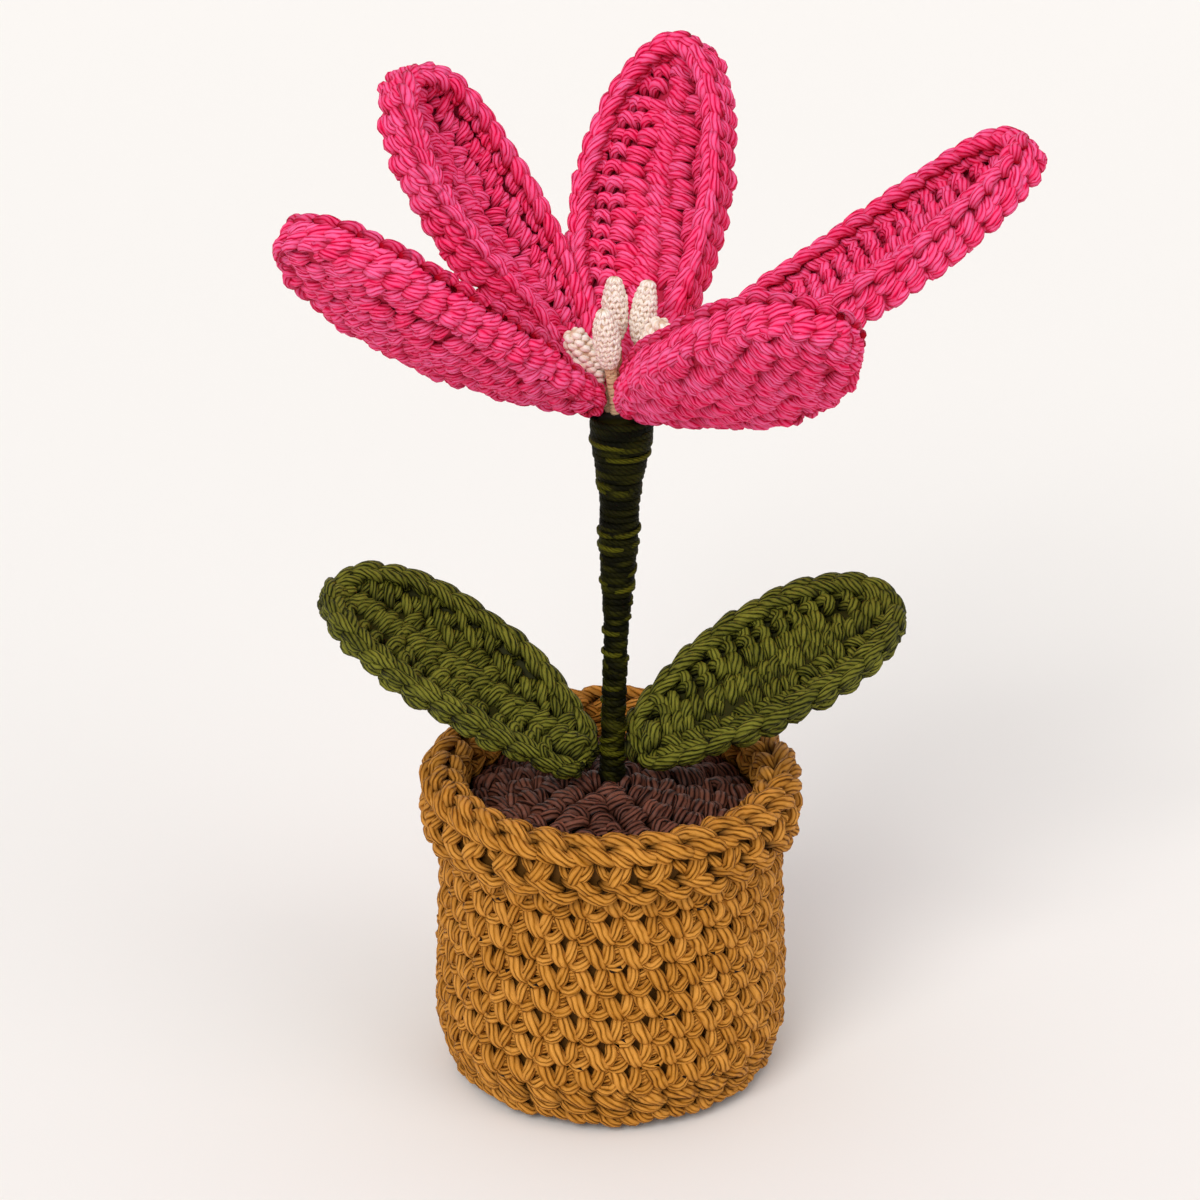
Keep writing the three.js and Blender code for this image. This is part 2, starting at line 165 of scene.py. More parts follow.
@dataclass
class Skein:
    """Collects strands and sheets of one piece and turns them into one mesh.

    Attributes:
        name: Piece name.
        seed: Seed for the piece's own random draws.
    """

    name: str
    seed: int
    verts: list[Array] = field(default_factory=list)
    faces: list[Array] = field(default_factory=list)
    sizes: list[Array] = field(default_factory=list)
    yarn_uv: list[Array] = field(default_factory=list)
    tint_uv: list[Array] = field(default_factory=list)
    count: int = 0

    def __post_init__(self) -> None:
        """Starts the piece's own random numbers."""
        self.random = np.random.default_rng(self.seed)

    def _keep(self, verts: Array, faces: Array, uv: Array, tint: Array) -> None:
        """Adds faces that all have the same number of corners.

        Args:
            verts: Array (points, 3), in mm. May be empty.
            faces: Array (faces, corners) of indices into this batch.
            uv: Array (faces, corners, 2), length and turn along the yarn.
            tint: Array (faces, corners, 2), the strand's own random tone and its painted light level, which
                sets its painted shade.
        """
        self.faces.append((faces + self.count).ravel())
        self.sizes.append(np.full(len(faces), faces.shape[1]))
        self.yarn_uv.append(uv.reshape(-1, 2))
        self.tint_uv.append(tint.reshape(-1, 2))
        if len(verts):
            self.verts.append(verts)

    def lay(
        self,
        paths: Array,
        outward: Array,
        yarn: Yarn,
        girth: Array | float = 1.0,
        depth: Array | float = 1.0,
    ) -> None:
        """Lays strands of yarn along paths.

        A strand is an ellipse carried along its path. The ellipse's flat side faces the
        fabric's outward direction at the middle of the path, and is carried from there to
        both ends without twisting. Its size swells from the ends by a quarter-sine and the
        ends are closed by flat caps. Its colour gets painted shade: darker on its inward
        side and where it dives into the fabric, and darkest on the caps.

        Args:
            paths: Array (strands, steps, 3), in mm.
            outward: Array (strands, 3), the fabric's outward direction.
            yarn: The yarn's section.
            girth: Extra scale for each strand, one number or one per strand.
            depth: How far out of the fabric each point is, from 0 to 1; it sets the painted shade, which is
                full at 0.
        """
        strands, steps, _ = paths.shape
        sides = yarn.sides
        along = unit(np.gradient(paths, axis=1))
        middle = steps // 2
        across = np.empty_like(paths)
        across[:, middle] = unit(np.cross(along[:, middle], outward))
        for k in [*range(middle + 1, steps), *range(middle - 1, -1, -1)]:
            previous = across[:, k - 1] if k > middle else across[:, k + 1]
            lean = np.sum(previous * along[:, k], axis=-1, keepdims=True)
            across[:, k] = unit(previous - lean * along[:, k])
        up = np.cross(across, along)
        share = np.sin(np.linspace(0.0, np.pi, steps)) ** 0.5
        swell = yarn.taper + (1.0 - yarn.taper) * share
        size = swell[None, :] * np.broadcast_to(np.asarray(girth, float), (strands,))[:, None]
        angle = np.linspace(0.0, TURN, sides, endpoint=False)
        ring = (
            across[:, :, None, :] * (np.cos(angle) * yarn.half_width)[None, None, :, None]
            + up[:, :, None, :] * (np.sin(angle) * yarn.half_thickness)[None, None, :, None]
        )
        verts = paths[:, :, None, :] + ring * size[:, :, None, None]
        length = np.zeros((strands, steps))
        length[:, 1:] = np.cumsum(np.linalg.norm(np.diff(paths, axis=1), axis=-1), axis=1)
        length = length * 0.1 + self.random.uniform(0.0, 40.0, (strands, 1))
        shade = self.random.uniform(0.0, 1.0, (strands, 1))
        # Painted light: the outward side of each ring is painted lighter and the inward side darker, scaled
        # by the depth.
        crest = 0.5 + 0.5 * np.sin(angle)
        light = np.broadcast_to(depth, (strands, steps))[:, :, None] * (0.4 + 0.6 * crest)
        self._tube_faces(verts, length, shade, light)

    def _tube_faces(self, verts: Array, length: Array, shade: Array, light: Array) -> None:
        """Makes the side faces and the two caps of a batch of tubes.

        Args:
            verts: Array (strands, steps, sides, 3), in mm.
            length: Array (strands, steps), distance along the yarn for the UV map.
            shade: Array (strands, 1), each strand's own shade.
            light: Array (strands, steps, sides), the painted light level: 1 on a crest and 0, full painted
                shade, deep in the fabric.
        """
        strands, steps, sides, _ = verts.shape
        index = np.arange(strands * steps * sides).reshape(strands, steps, sides)
        after = np.roll(index, -1, axis=2)
        quads = np.stack([index[:, :-1], after[:, :-1], after[:, 1:], index[:, 1:]], axis=-1)
        u = np.broadcast_to(length[:, :, None], (strands, steps, sides))
        u_corners = np.stack([u[:, :-1], u[:, :-1], u[:, 1:], u[:, 1:]], axis=-1)
        v = np.arange(sides) / sides
        v_corners = np.stack([v, v + 1 / sides, v + 1 / sides, v], axis=-1)
        v_corners = np.broadcast_to(v_corners, u_corners.shape)
        uv = np.stack([u_corners, v_corners], axis=-1).reshape(-1, 4, 2)
        tone = np.broadcast_to(shade[:, :, None, None], u_corners.shape).reshape(-1, 4)
        ahead = np.roll(light, -1, axis=2)
        painted_light_corners = np.stack([light[:, :-1], ahead[:, :-1], ahead[:, 1:], light[:, 1:]], axis=-1).reshape(-1, 4)
        self._keep(verts.reshape(-1, 3), quads.reshape(-1, 4), uv, np.stack([tone, painted_light_corners], axis=-1))
        self.count += strands * steps * sides
        caps = np.concatenate([index[:, 0, ::-1], index[:, -1]]) - self.count
        cap_uv = np.concatenate([u[:, 0], u[:, -1]])
        cap_uv = np.stack([cap_uv, np.zeros_like(cap_uv)], axis=-1)
        tone = np.repeat(np.concatenate([shade, shade]), sides, axis=1)
        # Painted shade: the caps get painted light level 0, so strand ends are painted in the deep colour.
        self._keep(np.empty((0, 3)), caps, cap_uv, np.stack([tone, np.zeros_like(tone)], axis=-1))

    def sheet(self, grid: Array, around: bool = False, along: bool = False, caps: bool = False) -> None:
        """Adds a plain sheet through a grid of points, as the fabric behind the strands, painted dark as the
        shade that shows between them.

        Args:
            grid: Array (rows, columns, 3), in mm.
            around: Joins the last column to the first.
            along: Joins the last row to the first.
            caps: Closes the first and the last row with a face each.
        """
        rows, columns, _ = grid.shape
        index = np.arange(rows * columns).reshape(rows, columns)
        ends = np.stack([index[0, ::-1], index[-1]])
        if around:
            index = np.concatenate([index, index[:, :1]], axis=1)
        if along:
            index = np.concatenate([index, index[:1]], axis=0)
        quads = np.stack([index[:-1, :-1], index[:-1, 1:], index[1:, 1:], index[1:, :-1]], axis=-1)
        quads = quads.reshape(-1, 4)
        uv = np.zeros((len(quads), 4, 2))
        # Painted shade: the sheet is mixed far towards the deep colour, standing for the shade behind and
        # between the strands.
        tint = np.broadcast_to([0.5, LINING_PAINTED_LIGHT], (len(quads), 4, 2))
        self._keep(grid.reshape(-1, 3), quads, uv, tint)
        if caps:
            blank = np.zeros((2, columns, 2))
            self._keep(np.empty((0, 3)), ends, blank, blank + np.array([0.5, LINING_PAINTED_LIGHT]))
        self.count += rows * columns

    def piece(self, material: bpy.types.Material) -> bpy.types.Object:
        """Makes the collected strands one Blender object.

        Args:
            material: The piece's finish.

        Returns:
            The new object, at the origin, with its place in its mesh.
        """
        mesh = bpy.data.meshes.new(self.name)
        verts = np.concatenate(self.verts) * MM
        faces = np.concatenate(self.faces)
        sizes = np.concatenate(self.sizes)
        mesh.vertices.add(len(verts))
        mesh.vertices.foreach_set("co", verts.ravel())
        mesh.loops.add(len(faces))
        mesh.loops.foreach_set("vertex_index", faces.astype(np.int32))
        mesh.polygons.add(len(sizes))
        starts = np.concatenate([[0], np.cumsum(sizes)[:-1]])
        mesh.polygons.foreach_set("loop_start", starts.astype(np.int32))
        mesh.update(calc_edges=True)
        for label, data in (("Yarn", self.yarn_uv), ("Tint", self.tint_uv)):
            layer = mesh.uv_layers.new(name=label)
            layer.data.foreach_set("uv", np.concatenate(data).ravel())
        mesh.polygons.foreach_set("use_smooth", np.ones(len(sizes), dtype=bool))
        mesh.materials.append(material)
        mesh.validate()
        made = bpy.data.objects.new(self.name, mesh)
        bpy.context.scene.collection.objects.link(made)
        log.info("%s: %d faces", self.name, len(sizes))
        return made


def copies(template: Array, origins: Array, scale: Array | None = None) -> Array:
    """Repeats a strand's knots at many places.

    Args:
        template: Array (knots, 3).
        origins: Array (copies, 3).
        scale: Optional array (copies, 3) that stretches each copy.

    Returns:
        Array (copies, knots, 3).
    """
    shaped = template[None, :, :] * (1.0 if scale is None else scale[:, None, :])
    return shaped + origins[:, None, :]


def lay_on(
    skein: Skein,
    surface: Surface,
    knots: Array,
    yarn: Yarn,
    steps: int,
    wobble: float = 0.0,
    girth: Array | float = 1.0,
) -> None:
    """Bends strands over a surface and lays them there.

    Args:
        skein: The piece that gets the strands.
        surface: Turns plain fabric coordinates into points in mm.
        knots: Array (strands, knots, 3) in fabric coordinates.
        yarn: The yarn's section.
        steps: Points along each strand.
        wobble: Random shift of each knot, in mm.
        girth: Scale of each strand.
    """
    if wobble:
        knots = knots + skein.random.normal(0.0, wobble, knots.shape)
    flat = spline(knots, steps)
    paths = surface(flat)
    middle = flat[:, steps // 2]
    lifted = middle + np.array([0.0, 0.0, 0.5])
    # Painted shade: each strand is painted darker where it dives into the fabric and lighter where it stands
    # furthest out.
    out = flat[..., 2]
    low, high = out.min(axis=1, keepdims=True), out.max(axis=1, keepdims=True)
    depth = ease(0.05 + 0.95 * (out - low) / np.maximum(high - low, 0.25))
    skein.lay(paths, unit(surface(lifted) - surface(middle)), yarn, girth, depth)


# --------------------------------------------------------------------------------------
# Materials
# --------------------------------------------------------------------------------------


def linear(hex_code: str) -> tuple[float, float, float, float]:
    """Turns an sRGB hex colour into linear RGBA.

    Args:
        hex_code: Six hex digits.

    Returns:
        The linear colour with alpha 1.
    """
    values = [int(hex_code[i : i + 2], 16) / 255.0 for i in (0, 2, 4)]
    curve = [v / 12.92 if v <= 0.04045 else ((v + 0.055) / 1.055) ** 2.4 for v in values]
    return (*curve, 1.0)


def add_node(tree: bpy.types.NodeTree, kind: str, links: dict | None = None, **settings) -> bpy.types.Node:
    """Adds a shader node, sets its values and links its inputs.

    Args:
        tree: The material's node tree.
        kind: Node type, such as ShaderNodeMath.
        links: Input name or number to an output socket or a plain value.
        settings: Attributes to set on the node.

    Returns:
        The new node.
    """
    node = tree.nodes.new(kind)
    for key, value in settings.items():
        setattr(node, key, value)
    for key, value in (links or {}).items():
        if isinstance(value, bpy.types.NodeSocket):
            tree.links.new(value, node.inputs[key])
        else:
            node.inputs[key].default_value = value
    return node


@dataclass(frozen=True)
class YarnFinish:
    """How a plied yarn looks.

    Attributes:
        name: Material name.
        deep: Painted shade colour, mixed in deep in the fabric, on strand undersides and ends and on the
            lining.
        groove: Painted shade colour in the grooves between plies.
        body: Main colour.
        light: Painted highlight colour on the crest of the plies.
        plies: Threads round the yarn.
        lay_length: Length in mm in which a ply goes once round.
        roughness: Surface roughness.
        sheen: Weight of the soft fibre sheen.
        relief: Height of the plies in mm.
        fuzz: Share of fine fibre noise in the colour.
    """

    name: str
    deep: str
    groove: str
    body: str
    light: str
    plies: int = 8
    lay_length: float = 30.0
    roughness: float = 0.62
    sheen: float = 0.0
    gloss: float = 0.12
    relief: float = 0.36
    fuzz: float = 0.35

    def material(self) -> bpy.types.Material:
        """Builds the finish.

        The plies are ridges that wind round the strand: the ridge height is the absolute
        sine of the ply count times the turn plus the distance over the lay length. Fine
        fibres are noise drawn out along the plies. The ridge height also sets the colour,
        from painted shade in the grooves to a painted highlight on the crests.

        Returns:
            The node material.
        """
        made = bpy.data.materials.new(self.name)
        made.use_nodes = True
        tree = made.node_tree
        tree.nodes.clear()
        uv = add_node(tree, "ShaderNodeUVMap", uv_map="Yarn")
        parts = add_node(tree, "ShaderNodeSeparateXYZ", {0: uv.outputs[0]})
        turn = add_node(
            tree,
            "ShaderNodeMath",
            {0: parts.outputs[0], 1: 10.0 / self.lay_length, 2: parts.outputs[1]},
            operation="MULTIPLY_ADD",
        )
        rough = add_node(
            tree, "ShaderNodeMapping", {"Vector": uv.outputs[0], "Scale": (3.0, 5.0, 1.0)}
        )
        drift = add_node(
            tree, "ShaderNodeTexNoise", {"Vector": rough.outputs[0], "Scale": 1.0, "Detail": 1.0}
        )
        steady = add_node(
            tree, "ShaderNodeMath", {0: turn.outputs[0], 1: np.pi * self.plies}, operation="MULTIPLY"
        )
        phase = add_node(
            tree,
            "ShaderNodeMath",
            {0: drift.outputs[0], 1: 3.6, 2: steady.outputs[0]},
            operation="MULTIPLY_ADD"
        )
        wave = add_node(tree, "ShaderNodeMath", {0: phase.outputs[0]}, operation="SINE")
        ridge = add_node(tree, "ShaderNodeMath", {0: wave.outputs[0]}, operation="ABSOLUTE")
        even = add_node(tree, "ShaderNodeMath", {0: ridge.outputs[0], 1: 0.65}, operation="POWER")
        fade = add_node(
            tree,
            "ShaderNodeMapRange",
            {"Value": drift.outputs[0], "From Min": 0.35, "From Max": 0.65, "To Min": 0.0, "To Max": 0.5},
        )
        crest = add_node(
            tree,
            "ShaderNodeMapRange",
            {
                "Value": even.outputs[0],
                "To Min": fade.outputs[0],
                "To Max": 1.0,
                "From Min": 0.0,
                "From Max": 1.0,
            },
        )
        stretched = add_node(
            tree, "ShaderNodeCombineXYZ", {0: parts.outputs[0], 1: turn.outputs[0], 2: 0.0}
        )
        scaled = add_node(
            tree, "ShaderNodeMapping", {"Vector": stretched.outputs[0], "Scale": (9.0, 60.0, 1.0)}
        )
        fibre = add_node(
            tree, "ShaderNodeTexNoise", {"Vector": scaled.outputs[0], "Scale": 1.0, "Detail": 2.0}
        )
        tint_uv = add_node(tree, "ShaderNodeUVMap", uv_map="Tint")
        tint = add_node(tree, "ShaderNodeSeparateXYZ", {0: tint_uv.outputs[0]})
        colour = self._colour(tree, crest.outputs[0], fibre.outputs[0], tint.outputs[0], tint.outputs[1])
        blend = add_node(
            tree,
            "ShaderNodeMath",
            {0: fibre.outputs[0], 1: 0.35, 2: crest.outputs[0]},
            operation="MULTIPLY_ADD",
        )
        bump = add_node(
            tree,
            "ShaderNodeBump",
            {"Height": blend.outputs[0], "Distance": self.relief * MM, "Strength": 1.0},
        )
        shader = add_node(
            tree,
            "ShaderNodeBsdfPrincipled",
            {
                "Base Color": colour,
                "Roughness": self.roughness,
                "Normal": bump.outputs[0],
                "Sheen Weight": self.sheen,
                "Sheen Roughness": 0.45,
                "Sheen Tint": linear(self.light),
                "Specular IOR Level": self.gloss,
            },
        )
        add_node(tree, "ShaderNodeOutputMaterial", {"Surface": shader.outputs[0]})
        return made

    def _colour(
        self,
        tree: bpy.types.NodeTree,
        crest: bpy.types.NodeSocket,
        fibre: bpy.types.NodeSocket,
        tint: bpy.types.NodeSocket,
        depth: bpy.types.NodeSocket,
    ) -> bpy.types.NodeSocket:
        """Mixes the groove, body and crest colours: painted shade in the ply grooves, the
        yarn's own colour and a painted highlight on the ply crests.

        Args:
            tree: The material's tree.
            crest: Ridge height from 0 to 1.
            fibre: Fibre noise.
            tint: Each strand's own shade.
            depth: Painted light level: 1 on a strand and 0 on the fabric behind the strands, where the deep
                colour is mixed in as painted shade.

        Returns:
            The colour socket.
        """
        shade = add_node(
            tree,
            "ShaderNodeMath",
            {0: tint, 1: 0.22, 2: -0.11},
            operation="MULTIPLY_ADD",
        )
        grain = add_node(
            tree, "ShaderNodeMath", {0: fibre, 1: self.fuzz, 2: -0.5 * self.fuzz}, operation="MULTIPLY_ADD"
        )
        both = add_node(tree, "ShaderNodeMath", {0: shade.outputs[0], 1: grain.outputs[0]}, operation="ADD")
        level = add_node(
            tree, "ShaderNodeMath", {0: crest, 1: 0.85, 2: both.outputs[0]}, operation="MULTIPLY_ADD"
        )
        # Painted shade in the ply grooves, the yarn's own colour in the middle, a painted highlight on the
        # crests.
        ramp = add_node(tree, "ShaderNodeValToRGB", {0: level.outputs[0]})
        stops = ramp.color_ramp.elements
        stops[0].position, stops[0].color = 0.1, linear(self.groove)
        stops[1].position, stops[1].color = 1.0, linear(self.light)
        middle = stops.new(0.5)
        middle.color = linear(self.body)
        # Painted shade: mixes the colour towards the deep colour as the painted light level falls.
        painted_shade_mix = add_node(
            tree,
            "ShaderNodeMix",
            {0: depth, 6: linear(self.deep), 7: ramp.outputs[0]},
            data_type="RGBA",
        )
        return painted_shade_mix.outputs[2]


# Each finish lists its colours in order: painted shade deep in the fabric, painted shade in the ply grooves,
# the yarn's own colour and a painted highlight on the ply crests.
# Mercerised cotton: long smooth fibres give a soft gloss along each ply and deep grooves; the grooves are
# also painted darker as shade and the ply crests painted lighter as a highlight.
OCHRE = YarnFinish("mercerised_cotton_ochre", "1C0A00", "5A2E02", "AA6A14", "E6A046", lay_length=24.0)
# The soil's yarn is glossier; its thin bright lines on near-black brown come partly from that gloss and
# partly from a painted highlight on the ply crests, and its grooves hold painted shade.
EARTH = YarnFinish(
    "mercerised_cotton_earth", "040100", "120401", "321208", "8A5440", roughness=0.45, gloss=0.2
)
# The leaves' yarn is more tightly twisted, so its plies slant.
OLIVE = YarnFinish("mercerised_cotton_olive", "030300", "141501", "383B06", "88862C", lay_length=13.0)
# The petals' yarn has hardly any gloss: its bright plies are a painted highlight on the ply crests and its
# deep red grooves are painted shade.
PINK = YarnFinish(
    "mercerised_cotton_pink", "A8001E", "DA003C", "FF1A5A", "FF74AC", lay_length=18.0, relief=0.26, gloss=0.08
)
# The stem's thread is thinner and duller, with close plies.
STEM_THREAD = YarnFinish(
    "wound_cotton_thread_olive",
    "060600",
    "1E1D01",
    "3A3904",
    "5A580E",
    plies=6,
    lay_length=6.0,
    relief=0.12,
    gloss=0.06,
)
# Fine cotton in small close stitches, nearly white.
CREAM = YarnFinish(
    "fine_cotton_cream", "D8B48E", "EFD4B4", "FFF0DE", "FFFDF8", plies=4, lay_length=5.0, relief=0.08
)
# Loose white fibre, matt and without plies that show.
FILLING = YarnFinish(
    "carded_polyester_fibrefill", "C9C8C2", "D9D8D2", "ECEBE6", "FFFFFF", relief=0.02, roughness=0.95
)


# --------------------------------------------------------------------------------------
# Driving dimensions, in mm and degrees, as in the construction
# --------------------------------------------------------------------------------------

FLOWER_AXIS = 1.8
STEM_FOOT = (0.2, 55.0)
STEM_TOP = (FLOWER_AXIS, 122.7)
WIDEST_AT = 0.55
WIRE_COVER = 0.45
PANEL_TUCK = 1.4
UNDER_INSET = 1.2
TIP_INSET = 1.4


def strand(*knots: tuple[float, float, float]) -> Array:
    """A strand's knots as an array.

    Args:
        knots: Points along the strand, in mm.

    Returns:
        Array (knots, 3).
    """
    return np.array(knots, dtype=float)


def show(skein: Skein, material: bpy.types.Material, slot: str, *nodes: str) -> bpy.types.Object:
    """Makes a piece of a skein, lets it ride on the body and stand for its nodes.

    Args:
        skein: The collected strands.
        material: The piece's finish.
        slot: The record's material slot; not used.
        nodes: The CAD nodes that the piece stands for.

    Returns:
        The new piece.
    """
    made = skein.piece(material)
    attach(made, "root")
    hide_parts(*nodes)
    return made


# --------------------------------------------------------------------------------------
# The pot
# --------------------------------------------------------------------------------------

# The rim's strands in fabric coordinates: round the pot, up the profile, out of the fabric.
# Two ranks of the braid lie over each other at the top, then posts over a collar, then a hem.
RIM_TOP_LINK = strand(
    (-4.7, 11.8, -1.9),
    (-3.2, 12.4, -0.9),
    (-1.3, 12.4, -0.25),
    (0.8, 11.7, 0.05),
    (2.8, 10.8, -0.1),
    (4.5, 10.1, -1.6)
)
RIM_SECOND_LINK = strand(
    (-1.4, 10.5, -1.9),
    (0.1, 10.0, -0.7),
    (1.8, 9.3, -0.1),
    (3.5, 8.5, 0.05),
    (5.1, 7.8, -0.4),
    (6.2, 7.3, -1.8)
)
RIM_COLLAR = strand(
    (-3.4, 8.6, -2.2), (-2.2, 8.6, -1.1), (-0.6, 8.0, -0.7), (1.0, 7.3, -0.8), (2.4, 6.8, -2.1)
)
RIM_POST = strand((-0.2, 7.4, -2.2), (-0.1, 6.4, -0.7), (-0.5, 5.2, 0.0), (-1.0, 4.0, 0.1), (-1.3, 3.1, -1.6))
RIM_SIDE_POST = strand(
    (1.2, 7.0, -2.2), (1.3, 6.0, -0.8), (0.9, 4.9, -0.2), (0.1, 3.9, -0.3), (-0.5, 3.2, -1.8)
)
RIM_SLANT = strand((2.6, 6.4, -2.2), (3.3, 5.7, -1.3), (4.1, 5.0, -1.0), (4.9, 4.4, -1.1), (5.4, 4.1, -2.2))
RIM_GARLAND = strand(
    (-3.4, 2.9, -1.9), (-1.9, 3.3, -0.6), (0.0, 3.1, 0.0), (1.9, 2.4, 0.05), (3.6, 1.7, -1.6)
)
RIM_HEM = strand(
    (-0.9, 2.2, -2.0),
    (0.5, 1.4, -0.5),
    (2.2, 0.7, -0.1),
    (3.9, 0.6, -0.2),
    (5.4, 1.1, -0.7),
    (6.6, 1.8, -2.1)
)


@dataclass
class Pot:
    """The crocheted pot: wall, base and folded rim.

    Fabric coordinates are the distance round the pot, the distance up the profile and the
    distance out of the fabric. One stitch is a long left leg and a short right leg that
    meet in a point, over the bowed loop of the round below and two bars between stitches.
    """

    stitches: int = 30
    rows: int = 8
    first_row: float = 9.9
    row_height: float = 4.8
    lean: float = 0.25
    foot_radius: float = 26.5
    bulge_radius: float = 30.7
    bulge_height: float = 11.0
    neck_radius: float = 29.6
    rim_outer: float = 32.6
    rim_inner: float = 25.6
    rim_depth: float = 10.6
    rim_round: float = 2.4
    height: float = field(init=False)
    pitch: float = field(init=False)

    def __post_init__(self) -> None:
        """Takes the pot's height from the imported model."""
        self.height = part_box("pot")[1][2] / MM
        self.pitch = TURN * self.bulge_radius / self.stitches

    def wall_radius(self, z: Array) -> Array:
        """The wall's outer radius: a quarter ellipse at the foot, then easing to the neck.

        Args:
            z: Height in mm.

        Returns:
            Radius in mm.
        """
        low = np.sqrt(np.clip(1.0 - (1.0 - z / self.bulge_height) ** 2, 0.0, 1.0))
        foot = self.foot_radius + (self.bulge_radius - self.foot_radius) * low
        span = self.height - self.rim_depth - self.bulge_height
        neck = self.bulge_radius + (self.neck_radius - self.bulge_radius) * ease(
            (z - self.bulge_height) / span
        )
        return np.where(z < self.bulge_height, foot, neck)

    def revolve(self, u: Array, radius: Array, z: Array) -> Array:
        """Turns a profile round the upright axis, starting at the front.

        Args:
            u: Distance round, in mm at the bulge.
            radius: Distance from the axis.
            z: Height.

        Returns:
            Points in mm.
        """
        angle = u / self.bulge_radius
        return np.stack([radius * np.sin(angle), -radius * np.cos(angle), z], axis=-1)

    def wall(self, p: Array) -> Array:
        """Bends fabric coordinates round the wall.

        Args:
            p: Array (..., 3): distance round, height, distance out.

        Returns:
            Points in mm.
        """
        z = p[..., 1]
        slope = (self.wall_radius(z + 0.8) - self.wall_radius(np.maximum(z - 0.8, 0.4))) / 1.6
        slope = np.clip(slope, -0.2, 1.2)
        tilt = 1.0 / np.sqrt(1.0 + slope**2)
        radius = self.wall_radius(z) + p[..., 2] * tilt
        return self.revolve(p[..., 0], radius, z - p[..., 2] * slope * tilt)

    def rim(self, p: Array) -> Array:
        """Bends fabric coordinates over the rim.

        The profile goes up the outside, round the top's outer corner, inwards over the
        top, round the inner corner and down the inside. Distance up it starts at the
        bottom of the outside.

        Args:
            p: Array (..., 3): distance round, distance up the profile, distance out.

        Returns:
            Points in mm.
        """
        s, n = p[..., 1], p[..., 2]
        side = self.rim_depth - self.rim_round
        corner = 0.5 * np.pi * self.rim_round
        top = self.rim_outer - self.rim_inner - 2.0 * self.rim_round
        first = np.clip((s - side) / corner, 0.0, 1.0) * 0.5 * np.pi
        second = np.clip((s - side - corner - top) / corner, 0.0, 1.0) * 0.5 * np.pi
        turn = first + second
        low = self.height - self.rim_depth
        up = low + np.minimum(s, side) + self.rim_round * np.sin(first)
        up = up - self.rim_round * (1.0 - np.cos(second)) - np.maximum(s - side - 2.0 * corner - top, 0.0)
        radius = self.rim_outer - self.rim_round * (1.0 - np.cos(first))
        radius = radius - np.clip(s - side - corner, 0.0, top) - self.rim_round * np.sin(second)
        return self.revolve(p[..., 0], radius + n * np.cos(turn), up + n * np.sin(turn))

    def underside(self, p: Array) -> Array:
        """Lays fabric coordinates flat under the pot.

        Args:
            p: Array (..., 3): turn in mm at the bulge, distance from the axis, distance down.

        Returns:
            Points in mm.
        """
        return self.revolve(p[..., 0], p[..., 1], -p[..., 2])

    def places(self, heights: Array, shift: float = 0.0) -> Array:
        """Stitch positions on the rounds, each round a quarter stitch on from the last.

        Args:
            heights: Height of each round in mm.
            shift: Extra shift round the pot, in stitches.

        Returns:
            Array (stitches, 3) in fabric coordinates.
        """
        row = np.arange(len(heights))
        u = (np.arange(self.stitches)[None, :] + self.lean * row[:, None] + shift) * self.pitch
        v = np.broadcast_to(heights[:, None], u.shape)
        return np.stack([u, v, np.zeros_like(u)], axis=-1).reshape(-1, 3)

    def build_wall(self) -> Skein:
        """Lays the wall's stitches over a lining.

        Returns:
            The wall's strands.
        """
        skein = Skein("pot_wall", 11)
        heights = self.first_row + self.row_height * np.arange(self.rows)
        at = self.places(heights, shift=-0.5)
        at = at + skein.random.normal(0.0, 0.16, at.shape) * np.array([1.0, 1.0, 0.4])
        left = strand(
            (-3.3, 4.1, -2.3),
            (-2.85, 3.55, -0.85),
            (-1.95, 2.35, -0.3),
            (-0.95, 1.0, -0.25),
            (0.0, -0.05, -0.6),
            (0.75, -0.4, -2.3),
        )
        right = strand(
            (0.0, -0.35, -2.3),
            (0.5, 0.4, -0.8),
            (1.05, 1.45, -0.25),
            (1.2, 2.6, -0.35),
            (1.1, 3.45, -0.95),
            (0.9, 3.9, -2.4),
        )
        bow = strand(
            (0.5, 0.1, -2.3),
            (1.1, -0.35, -0.8),
            (2.1, -0.45, -0.15),
            (3.15, 0.1, -0.2),
            (3.9, 0.9, -0.9),
            (4.4, 1.5, -2.5),
        )
        bar = strand((1.4, 1.4, -2.2), (2.1, 1.35, -0.9), (2.9, 1.65, -0.9), (3.6, 2.2, -2.2))
        lay_on(skein, self.wall, copies(bow, at), Yarn(1.12, 1.05, 7, 0.3), 10, 0.13)
        lay_on(skein, self.wall, copies(left, at), Yarn(1.52, 1.1, 8, 0.3), 12, 0.1)
        lay_on(skein, self.wall, copies(right, at), Yarn(1.2, 1.1, 8, 0.3), 10, 0.1)
        for lift in (0.0, 1.3):
            raised = at + np.array([0.1, lift, 0.0])
            lay_on(skein, self.wall, copies(bar, raised), Yarn(0.85, 0.8, 6, 0.5), 6, 0.12)
        skein.sheet(self._lining(), around=True)
        return skein

    def _lining(self) -> Array:
        """The fabric behind the wall, from the foot to the rim.

        Returns:
            Array (rows, columns, 3) in mm.
        """
        z = np.linspace(2.2, self.height - self.rim_depth + 1.0, 16)
        u = np.linspace(0.0, self.stitches * self.pitch, 60, endpoint=False)
        p = np.stack(np.broadcast_arrays(u[None, :], z[:, None], np.array(-1.5)), axis=-1)
        return self.wall(p)

